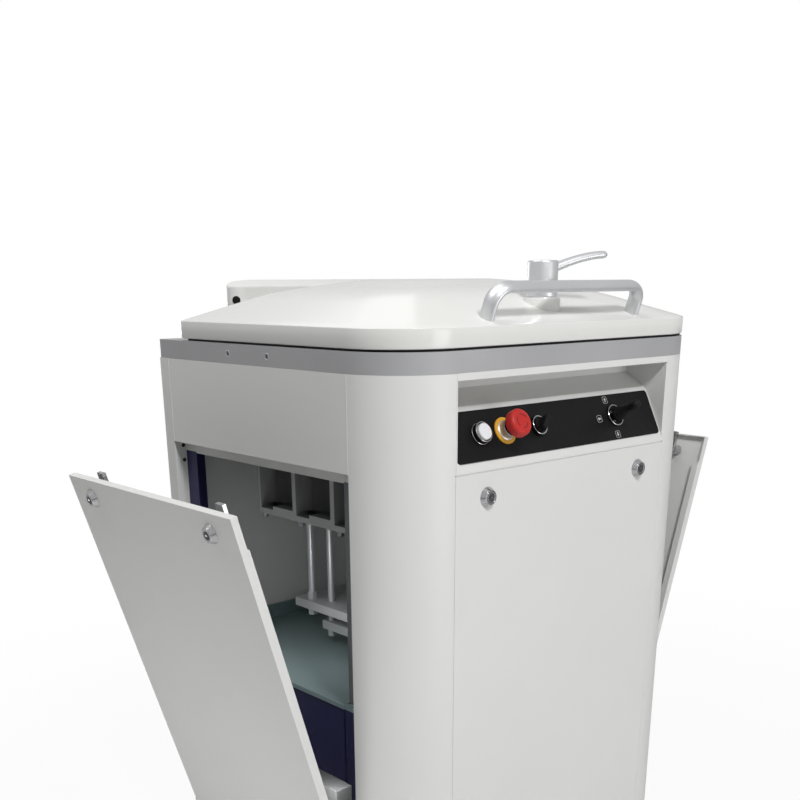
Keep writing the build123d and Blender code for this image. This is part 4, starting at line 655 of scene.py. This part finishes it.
# Direction marks: x, height up the slope and turn; a hair proud of the film
MARKS = ((0.121, 0.0695, 0), (0.0934, 0.0407, 90), (0.126, 0.0122, 180))
MARK_UNDER, MARK_PROUD = -0.0001, 0.00012
MARK_OUTER, MARK_INNER, SQUARENESS, MARK_STEPS = 0.0056, 0.0051, 5, 32
ARROW = [(0, 0.0036), (-0.0028, 0.0002), (-0.0011, 0.0002), (-0.0011, -0.0034), (0.0011, -0.0034),
         (0.0011, 0.0002), (0.0028, 0.0002)]


def arrow_mark(work, x, along, turn):
    """Rounded square outline with an arrow inside."""
    place = slope_frame(x, along) @ Matrix.Rotation(radians(turn), 4, "Z")
    ring = []
    for angle in turns(MARK_STEPS):
        stretch = (abs(cos(angle)) ** SQUARENESS + abs(sin(angle)) ** SQUARENESS) ** (-1 / SQUARENESS)
        ring.append(Vector((cos(angle) * stretch, sin(angle) * stretch, 0)))
    rows = [[place @ (point * size + Vector((0, 0, proud))) for point in ring]
            for size, proud in ((MARK_OUTER, MARK_UNDER), (MARK_OUTER, MARK_PROUD), (MARK_INNER, MARK_PROUD),
                                (MARK_INNER, MARK_UNDER))]
    loft(work, rows, looped=True)
    loft(work, [[place @ Vector((*point, proud)) for point in ARROW] for proud in (MARK_UNDER, MARK_PROUD)])


marks = bmesh.new()
for x, along, turn in MARKS:
    arrow_mark(marks, x, along, turn)
finished("direction_marks", marks, "cabinet", "white_plastic", mark_white)

# Joystick: ribbed bellows over the boot, and a grip that thickens towards a rounded end; radius and height
BELLOWS_FOOT = [(0, 0.0074), (0.0108, 0.0074)]
BELLOWS_TOP = [(0.0054, 0.0330), (0, 0.0330)]
RIBS, RIB_LOW, RIB_PITCH, RIB_WIDE, RIB_TAPER = 6, 0.0074, 0.0042, 0.0120, 0.00105
RIB = ((-0.0004, 0.0002), (0, 0.0012), (-0.0003, 0.0024), (-0.0016, 0.0036))
GRIP = [(0.0050, 0.0195), (0.0058, 0.0200), (0.0059, 0.0240), (0.0063, 0.0300), (0.0070, 0.0360),
        (0.0076, 0.0410), (0.0077, 0.0432), (0.0074, 0.0459), (0.0064, 0.0483), (0.0046, 0.0499),
        (0.0022, 0.0506), (0, 0.0507)]
folds = [(RIB_WIDE - RIB_TAPER * rib + wide, RIB_LOW + RIB_PITCH * rib + rise) for rib in range(RIBS)
         for wide, rise in RIB]
turned("joystick_bellows", BELLOWS_FOOT + folds + BELLOWS_TOP, control_frame["joystick"], "joystick",
       "black_rubber", steps=40, sharp=60)
turned("joystick_grip", GRIP, control_frame["joystick"], "joystick", "black_rubber", steps=32)

# Lid: flange, rim, crown of two slopes with soft ridges, hollow underside and the latch boss; pairs give the
# outline at the rim and at the plateau
LID_HALF, LID_NEAR, LID_FAR = (0.345, 0.1149), (-0.295, -0.0636), (0.2255, 0.0717)
NEAR_CORNER, FAR_CORNER = (0.104, 0.0568), (0.007, 0.0568)
NEAR_LEAST, FAR_LEAST = 0.004, 0.002
CORNER_STEPS = 14
RIM_LOW, RIM_TOP, CROWN_TOP = 0.983, 1.010, 1.070
RIM_ROUND, RIM_SWEEP, RIM_STEPS = 0.0014, 70, 5
FOOT_ROUND, FOOT_MIDDLE = 0.003, 0.0009
LID_WALL, ROOF_DROP = 0.005, 0.001
FLANGE_WIDTH, FLANGE_THICK = 0.034, 0.004
SHOULDER, SHOULDER_RISE, SHOULDER_BLEND, PLATEAU_BLEND = 0.5, 0.7, 0.14, 0.10
CROWN_STEPS, CROWN_REACH, PLATEAU_INSET = 32, 1.12, 0.2
BOSS = [(0.0062, 1.000), (0.0275, 1.000), (0.0275, 1.0408), (0.0268, 1.0424), (0.0252, 1.043),
        (0.0062, 1.043)]


def lid_outline(share, inset, height):
    """Lid outline between the rim (share 0) and the plateau (share 1), drawn in by an inset."""
    half = between(LID_HALF, share) - inset
    near = between(LID_NEAR, share) + inset
    far = between(LID_FAR, share) - inset
    near_radius = max(between(NEAR_CORNER, share) - inset, NEAR_LEAST)
    far_radius = max(between(FAR_CORNER, share) - inset, FAR_LEAST)
    corners = ((half - far_radius, far - far_radius, far_radius, 0),
               (-half + far_radius, far - far_radius, far_radius, 90),
               (-half + near_radius, near + near_radius, near_radius, 180),
               (half - near_radius, near + near_radius, near_radius, 270))
    return [Vector((x + radius * cos(angle), y + radius * sin(angle), height))
            for x, y, radius, start in corners for angle in sweep(start, 90, CORNER_STEPS)]


def soft_ridge(share, place, before, after, blend):
    """Height over the first slope where a slope turns into another, eased over a blend."""
    past = min(max(share - place + blend, 0), 2 * blend)
    beyond = max(share - place - blend, 0)
    return (after - before) * (past * past / (4 * blend) + beyond)


def crown_height(share):
    """Height of the crown over the rim for a share of the way to the plateau."""
    first = SHOULDER_RISE / SHOULDER
    second = (1 - SHOULDER_RISE) / (1 - SHOULDER)
    lift = first * share + soft_ridge(share, SHOULDER, first, second, SHOULDER_BLEND)
    return (CROWN_TOP - RIM_TOP) * (lift + soft_ridge(share, 1, second, 0, PLATEAU_BLEND))


rows = [lid_outline(1, LID_WALL, CROWN_TOP - LID_WALL - ROOF_DROP),
        lid_outline(SHOULDER, LID_WALL, RIM_TOP + crown_height(SHOULDER) - LID_WALL),
        lid_outline(0, LID_WALL, RIM_TOP - LID_WALL), lid_outline(0, LID_WALL, RIM_LOW + FLANGE_THICK),
        lid_outline(0, FLANGE_WIDTH, RIM_LOW + FLANGE_THICK), lid_outline(0, FLANGE_WIDTH, RIM_LOW),
        lid_outline(0, FOOT_ROUND, RIM_LOW), lid_outline(0, FOOT_MIDDLE, RIM_LOW + FOOT_MIDDLE),
        lid_outline(0, 0, RIM_LOW + FOOT_ROUND)]
for turn in sweep(0, RIM_SWEEP, RIM_STEPS):
    rows.append(lid_outline(0, RIM_ROUND * (1 - cos(turn)), RIM_TOP - RIM_ROUND * (1 - sin(turn))))
for step in range(1, CROWN_STEPS + 1):
    share = CROWN_REACH * step / CROWN_STEPS
    rows.append(lid_outline(min(share, 1), max(share - 1, 0) * PLATEAU_INSET, RIM_TOP + crown_height(share)))
latch_axis = Matrix.Translation((0, LATCH_Y, 0))
lid = bmesh.new()
loft(lid, rows)
lathe(lid, BOSS, latch_axis, steps=56, hollow=True)
finished("lid_skin", lid, "lid", "lid_white", replaced=["lid_shell"], sharp=40)

# Lid handle: one bent bar of flattened round section, square to the front slope
HANDLE_FOOT = Vector((0, -0.273, 1.018))
HANDLE_HALF, HANDLE_HEIGHT, HANDLE_BEND = 0.162, 0.043, 0.025
HANDLE_LEAN = 0.363
HANDLE_SUNK, HANDLE_STRAIGHT = -0.004, 0.008
BAR_THIN, BAR_WIDE = 0.0075, 0.0125
BEND_STEPS, SPAN_PARTS, BAR_STEPS = 12, 4, 32
lift = Vector((0, -HANDLE_LEAN, 1)).normalized()
across = Vector((0, 1, HANDLE_LEAN)).normalized()
bend_x = HANDLE_HALF - HANDLE_BEND
bend_lift = HANDLE_HEIGHT - HANDLE_BEND
# Stations along the bar: x, height and heading from the left foot to the middle, then mirrored
leg = [(-HANDLE_HALF, HANDLE_SUNK, 90), (-HANDLE_HALF, HANDLE_STRAIGHT, 90)]
for step, turn in enumerate(sweep(0, 90, BEND_STEPS)):
    leg.append((-bend_x - HANDLE_BEND * cos(turn), bend_lift + HANDLE_BEND * sin(turn),
                90 - 90 * step / BEND_STEPS))
span = [(bend_x * part / SPAN_PARTS, HANDLE_HEIGHT, 0) for part in range(1 - SPAN_PARTS, SPAN_PARTS)]
bar = []
for x, height, heading in leg + span + [(-x, height, -heading) for x, height, heading in reversed(leg)]:
    middle = HANDLE_FOOT + Vector((x, 0, 0)) + lift * height
    outward = Vector((-sin(radians(heading)), 0, 0)) + lift * cos(radians(heading))
    bar.append([middle + outward * (BAR_THIN * cos(angle)) + across * (BAR_WIDE * sin(angle))
                for angle in turns(BAR_STEPS)])
handle = bmesh.new()
loft(handle, bar)
finished("lid_handle_bar", handle, "lid", "satin_aluminium", replaced=["lid_handle"], sharp=40)

# Latch lever: turned hub and spindle, latch head below, and a swept arm that flares into the hub; pairs give
# the arm at the hub and at its tip, shares are of its length
HUB = [(0.0055, 1.0433), (0.0215, 1.0433), (0.0225, 1.0443), (0.0225, 1.0915), (0.0223, 1.0927),
       (0.0215, 1.0937), (0.0204, 1.0941), (0.0120, 1.0944), (0, 1.0945)]
SPINDLE = [(0, 0.954), (0.006, 0.954), (0.006, 1.0440), (0, 1.0440)]
LATCH_LONG, LATCH_WIDE, LATCH_LOW, LATCH_HIGH = 0.0115, 0.0055, 0.9545, 0.9620
ARM_TURN = radians(-20)
ARM_START, ARM_LENGTH, ARM_HEIGHT, ARM_RISE = 0.006, 0.102, 1.0795, 0.0225
ARM_WIDTH, ARM_THICK = (0.017, 0.014), (0.014, 0.0105)
FLARE_SHARE, FLARE_DEPTH, FLARE_WIDTH = 0.32, 0.35, 0.4
TIP_FROM, TIP_SHARE, TIP_TAPER = 0.93, 0.07, 0.9
ARM_STEPS, ARM_SIDES = 30, 24
lever = bmesh.new()
lathe(lever, HUB, latch_axis, steps=64)
lathe(lever, SPINDLE, latch_axis, steps=32)
latch_head = [(x * LATCH_LONG, LATCH_Y + y * LATCH_WIDE) for x, y in ((-1, -1), (1, -1), (1, 1), (-1, 1))]
upright(lever, latch_head, LATCH_LOW, LATCH_HIGH)
arm_ahead = Vector((cos(ARM_TURN), sin(ARM_TURN), 0))
arm_side = Vector((-sin(ARM_TURN), cos(ARM_TURN), 0))
arm = []
for step in range(ARM_STEPS + 1):
    share = step / ARM_STEPS
    flare = 1 + FLARE_DEPTH * max(1 - share / FLARE_SHARE, 0) ** 2
    tip = (1 - max((share - TIP_FROM) / TIP_SHARE, 0) ** 2 * TIP_TAPER) ** 0.5
    height = ARM_HEIGHT + ARM_RISE * sin(radians(90 * share))
    centre = Vector((0, LATCH_Y, height)) + arm_ahead * (ARM_START + ARM_LENGTH * share)
    width = between(ARM_WIDTH, share) / 2 * tip * (1 + (flare - 1) * FLARE_WIDTH)
    thick = between(ARM_THICK, share) / 2 * tip
    ring = []
    for angle in turns(ARM_SIDES):
        rise = thick * sin(angle) * (flare if sin(angle) < 0 else 1)
        ring.append(centre + arm_side * (width * cos(angle)) + Vector((0, 0, rise)))
    arm.append(ring)
loft(lever, arm)
finished("lid_lever_turned", lever, "lid_lever", "satin_aluminium", replaced=["lid_lever"], sharp=42)

# Hinge cover: folded sheet along the hinge with a top that rises to the rear and falls away at the round
# ends, a slot for each lid arm and a plug in each end
COVER_END, COVER_FRONT, COVER_REAR, COVER_FOOT = 0.209, 0.2355, 0.2755, 0.980
COVER_EDGE, COVER_SLOPE = 1.0603, 0.30
FRONT_ROUND, REAR_ROUND, ROUND_STEPS = 0.003, 0.005, 6
SHEET = 0.002
SLOT_X, SLOT_HALF, SLOT_TOP = 0.085, 0.008, 1.0550
END_FALL, END_FANS = 0.060, 18
END_ROWS, END_PITCH = 5, 0.01
PLUG = [(0, 0.0012), (0.0045, 0.0011), (0.0062, 0.0006), (0.0068, -0.0004), (0.0068, -0.003), (0, -0.003)]
PLUG_ACROSS, PLUG_FORWARD, PLUG_HEIGHT = 0.73, -0.68, 1.0387
slot_edges = [side * SLOT_X + half for side in SIDES for half in (-SLOT_HALF, SLOT_HALF)]
cover_middle, cover_half = (COVER_FRONT + COVER_REAR) / 2, (COVER_REAR - COVER_FRONT) / 2


def rounded(before, corner, after, radius):
    """Arc that takes the corner off between two straight runs of a section."""
    corner = Vector(corner)
    back, forth = (Vector(before) - corner).normalized(), (Vector(after) - corner).normalized()
    half = back.angle(forth) / 2
    centre = corner + (back + forth).normalized() * (radius / sin(half))
    first, last = ((corner + way * (radius / tan(half)) - centre).normalized() for way in (back, forth))
    return [tuple(centre + first.slerp(last, step / ROUND_STEPS) * radius) for step in range(ROUND_STEPS + 1)]


def cover_rise(x, y):
    """Height of the cover's top over its front edge."""
    share = min((COVER_END + cover_half - abs(x)) / END_FALL, 1)
    return COVER_SLOPE * (y - COVER_FRONT) * max(1 - (1 - share) ** 2, 0) ** 0.5


def cover_section(inset, x):
    """Section from the front foot over the sloping top to the rear foot, drawn in by an inset."""
    slope = cover_rise(x, COVER_REAR) / (COVER_REAR - COVER_FRONT)
    near, far = COVER_FRONT + inset, COVER_REAR - inset
    edge = COVER_EDGE + inset * slope - inset * (1 + slope ** 2) ** 0.5
    front, rear = (near, edge), (far, edge + (far - near) * slope)
    return ([(near, COVER_FOOT), (near, SLOT_TOP)]
            + rounded((near, COVER_FOOT), front, rear, FRONT_ROUND - inset)
            + rounded(front, rear, (far, COVER_FOOT), REAR_ROUND - inset) + [(far, COVER_FOOT)])


cover = bmesh.new()
end_rows = [side * (COVER_END - END_PITCH * step) for side in SIDES for step in range(END_ROWS)]
stations = sorted(end_rows + slot_edges)
slots = [stations.index(edge) for edge in slot_edges[::2]]
rows = [[cover.verts.new((x, y, z)) for y, z in cover_section(0, x) + cover_section(SHEET, x)[::-1]]
        for x in stations]
count = len(rows[0])
for row, (low, high) in enumerate(zip(rows, rows[1:])):
    for step in range(count):
        # A slot leaves out the front wall below its top: outside, inside and foot
        if row in slots and step in (0, count - 2, count - 1):
            continue
        after = (step + 1) % count
        cover.faces.new((low[step], low[after], high[after], high[step]))
for slot in slots:
    low, high = rows[slot], rows[slot + 1]
    for row in (low, high):
        cover.faces.new((row[0], row[1], row[-2], row[-1]))
    cover.faces.new((low[1], high[1], high[-2], low[-2]))
for row in (rows[0], rows[-1]):
    cover.faces.new(row)
middle_top = COVER_EDGE + cover_rise(COVER_END, cover_middle)
for side in SIDES:
    crown, foot = (cover.verts.new((side * COVER_END, cover_middle, z)) for z in (middle_top, COVER_FOOT))
    fans = []
    for turn in sweep(-90, 180, END_FANS):
        rim = cover_rise(COVER_END + cover_half * cos(turn), cover_middle + cover_half * sin(turn))
        corner = (cover_half, COVER_EDGE + rim)
        radius = between((FRONT_ROUND, REAR_ROUND), (1 + sin(turn)) / 2)
        wall = [(cover_half, COVER_FOOT)] + rounded((cover_half, COVER_FOOT), corner, (0, middle_top), radius)
        fans.append([cover.verts.new((side * (COVER_END + out * cos(turn)),
                                      cover_middle + out * sin(turn), z)) for out, z in wall])
    for low, high in zip(fans, fans[1:]):
        for step in range(len(low) - 1):
            cover.faces.new((low[step], low[step + 1], high[step + 1], high[step]))
        cover.faces.new((low[-1], crown, high[-1]))
        cover.faces.new((high[0], foot, low[0]))
    cover.faces.new(fans[0] + [crown] + fans[-1][::-1] + [foot])
finished("hinge_cover_arched", cover, "cabinet", "body_white", replaced=["hinge_cover"], sharp=35)
plugs = bmesh.new()
for side in SIDES:
    out = Vector((side * PLUG_ACROSS, PLUG_FORWARD, 0)).normalized()
    place = Vector((side * COVER_END, cover_middle, PLUG_HEIGHT)) + out * cover_half
    lathe(plugs, PLUG, facing(place, out), steps=32)
finished("hinge_plugs_domed", plugs, "cabinet", "black_plastic", replaced=["hinge_plugs"])

# Edging on the upright lips that the side doors close against, navy at the rear and below the shelf and grey
# above it as painted shade, as dark as the shaded wall inside, and the corners of shelf and carrier filled
# out past the front lips
LIP_OUTER, LIP_INNER = 0.3249, 0.3221
CORNER_FILL = [(0.3304, -0.182), (0.331, -0.1814), (0.331, -0.151), (0.3252, -0.151), (0.3252, -0.182)]
rear_lip, front_lip = ([(LIP_OUTER, near), (LIP_OUTER, far), (LIP_INNER, far), (LIP_INNER, near)]
                       for near, far in ((0.2346, 0.2660), (-0.1906, -0.1566)))
for name, slot, material, outline, low, high in (
        ("rear_lip_edging", "navy_paint", navy, rear_lip, 0.128, 0.800),
        ("front_lip_lower", "navy_paint", navy, front_lip, 0.128, 0.452),
        # Grey edging above the shelf is painted shade
        ("front_lip_upper", "motor_paint", lip_painted_shade_grey, front_lip, 0.462, 0.800),
        ("shelf_corners", "shelf_steel", shelf_teal, CORNER_FILL, 0.453, 0.461),
        ("carrier_corners", "navy_paint", navy, CORNER_FILL, 0.328, 0.453)):
    edging = bmesh.new()
    for side in SIDES:
        upright(edging, mirrored(side, outline), low, high)
    finished(name, edging, "cabinet", slot, material)

# Door stop under each upper side, light beads in the upright seams, a sill, and strips behind the front seams
# as lower and upper end and inner edge
STOP_SECTION = ((0.3245, 0.7980), (0.3245, 0.8170), (0.3225, 0.8170), (0.3225, 0.7980))
STOP_ENDS = (-0.1565, 0.2345)
SEAM_BEAD = [(0, 0.8162), (0.0009, 0.8162), (0.0009, 0.9508), (0, 0.9508)]
SEAM_X, SEAM_PLACES = 0.3446, (-0.1905, 0.2685)
STRIP_OUTER, STRIP_FRONT, STRIP_BACK = 0.2409, -0.2946, -0.2910
STRIPS = ((0.095, 0.814, 0.2397), (0.8155, 0.9508, 0.2392))
SILL_SECTION = ((-0.2942, 0.8137), (-0.2942, 0.8149), (-0.2905, 0.8149), (-0.2905, 0.8137))
SILL_HALF = 0.2388
stops = bmesh.new()
for side in SIDES:
    loft(stops, [[Vector((x, y, z)) for x, z in mirrored(side, STOP_SECTION)] for y in STOP_ENDS])
    for y in SEAM_PLACES:
        lathe(stops, SEAM_BEAD, Matrix.Translation((side * SEAM_X, y, 0)), steps=14)
    for low, high, inner in STRIPS:
        strip = [(inner, STRIP_FRONT), (STRIP_OUTER, STRIP_FRONT), (STRIP_OUTER, STRIP_BACK),
                 (inner, STRIP_BACK)]
        upright(stops, mirrored(side, strip), low, high)
loft(stops, [[Vector((x, y, z)) for y, z in SILL_SECTION] for x in (-SILL_HALF, SILL_HALF)])
finished("door_stops", stops, "cabinet", "body_white")

# Bright rims round the holes in the ring's sides, and two discs of painted shade for screw holes in the rear
# fold
HOLE_RIM = [(0.0039, -0.0006), (0.0039, 0.0001), (0.0044, 0.0004), (0.0049, 0.0001), (0.0049, -0.0006)]
RING_SIDE, RING_HOLES, RING_HOLE_HEIGHT = 0.345, (-0.0105, 0.0910), 0.9655
SCREW_HOLE_SHADE = [(0, 0.0003), (0.0028, 0.0003), (0.0034, 0), (0.0034, -0.0006), (0, -0.0006)]
FOLD_Y, FOLD_HOLES = 0.269, ((0.3283, 0.8082), (0.3282, 0.7836))
rims, holes = bmesh.new(), bmesh.new()
for side in SIDES:
    for y in RING_HOLES:
        place = (side * RING_SIDE, y, RING_HOLE_HEIGHT)
        lathe(rims, HOLE_RIM, facing(place, (side, 0, 0)), steps=32, hollow=True)
    for x, z in FOLD_HOLES:
        # Dark discs proud of the fold, painted shade standing for the holes
        lathe(holes, SCREW_HOLE_SHADE, facing((side * x, FOLD_Y, z), (0, -1, 0)), steps=24)
finished("ring_hole_rims", rims, "cabinet", "satin_aluminium")
finished("fold_hole_shades", holes, "cabinet", "black_plastic", hole_painted_shade)

# Rows of like pieces
for side, word in zip(SIDES, ("left", "right")):
    repeated("pan_bolts_" + word, "cabinet", "bright_steel", screw_row, Count=4, Sides=12,
             Start=(side * 0.2485, 0.1515, 0.700), Step=(0.0, -0.1008, 0.0), Turn=(pi, 0.0, 0.0),
             Radius=0.006, Height=0.008, Seed=3)
    repeated("rear_screws_" + word, "cabinet", "bright_steel", screw_row, Count=9, Sides=16,
             Start=(side * 0.330, 0.295, 0.13), Step=(0.0, 0.0, 0.098), Turn=(-pi / 2, 0.0, 0.0),
             Radius=0.0045, Height=0.0022, Seed=5)
    repeated("louvres_" + word, "cabinet", "body_white", louvre_row, Count=8,
             Start=(side * 0.150, 0.2956, 0.230), Step=(0.0, 0.0, 0.022), Radius=0.0052, Length=0.116)
repeated("motor_fins", "cabinet", "motor_paint", fin_ring, Count=30, Radius=0.0635,
         Fin=(0.007, 0.0024, 0.150), Middle=(0.190, 0.071, 0.164))
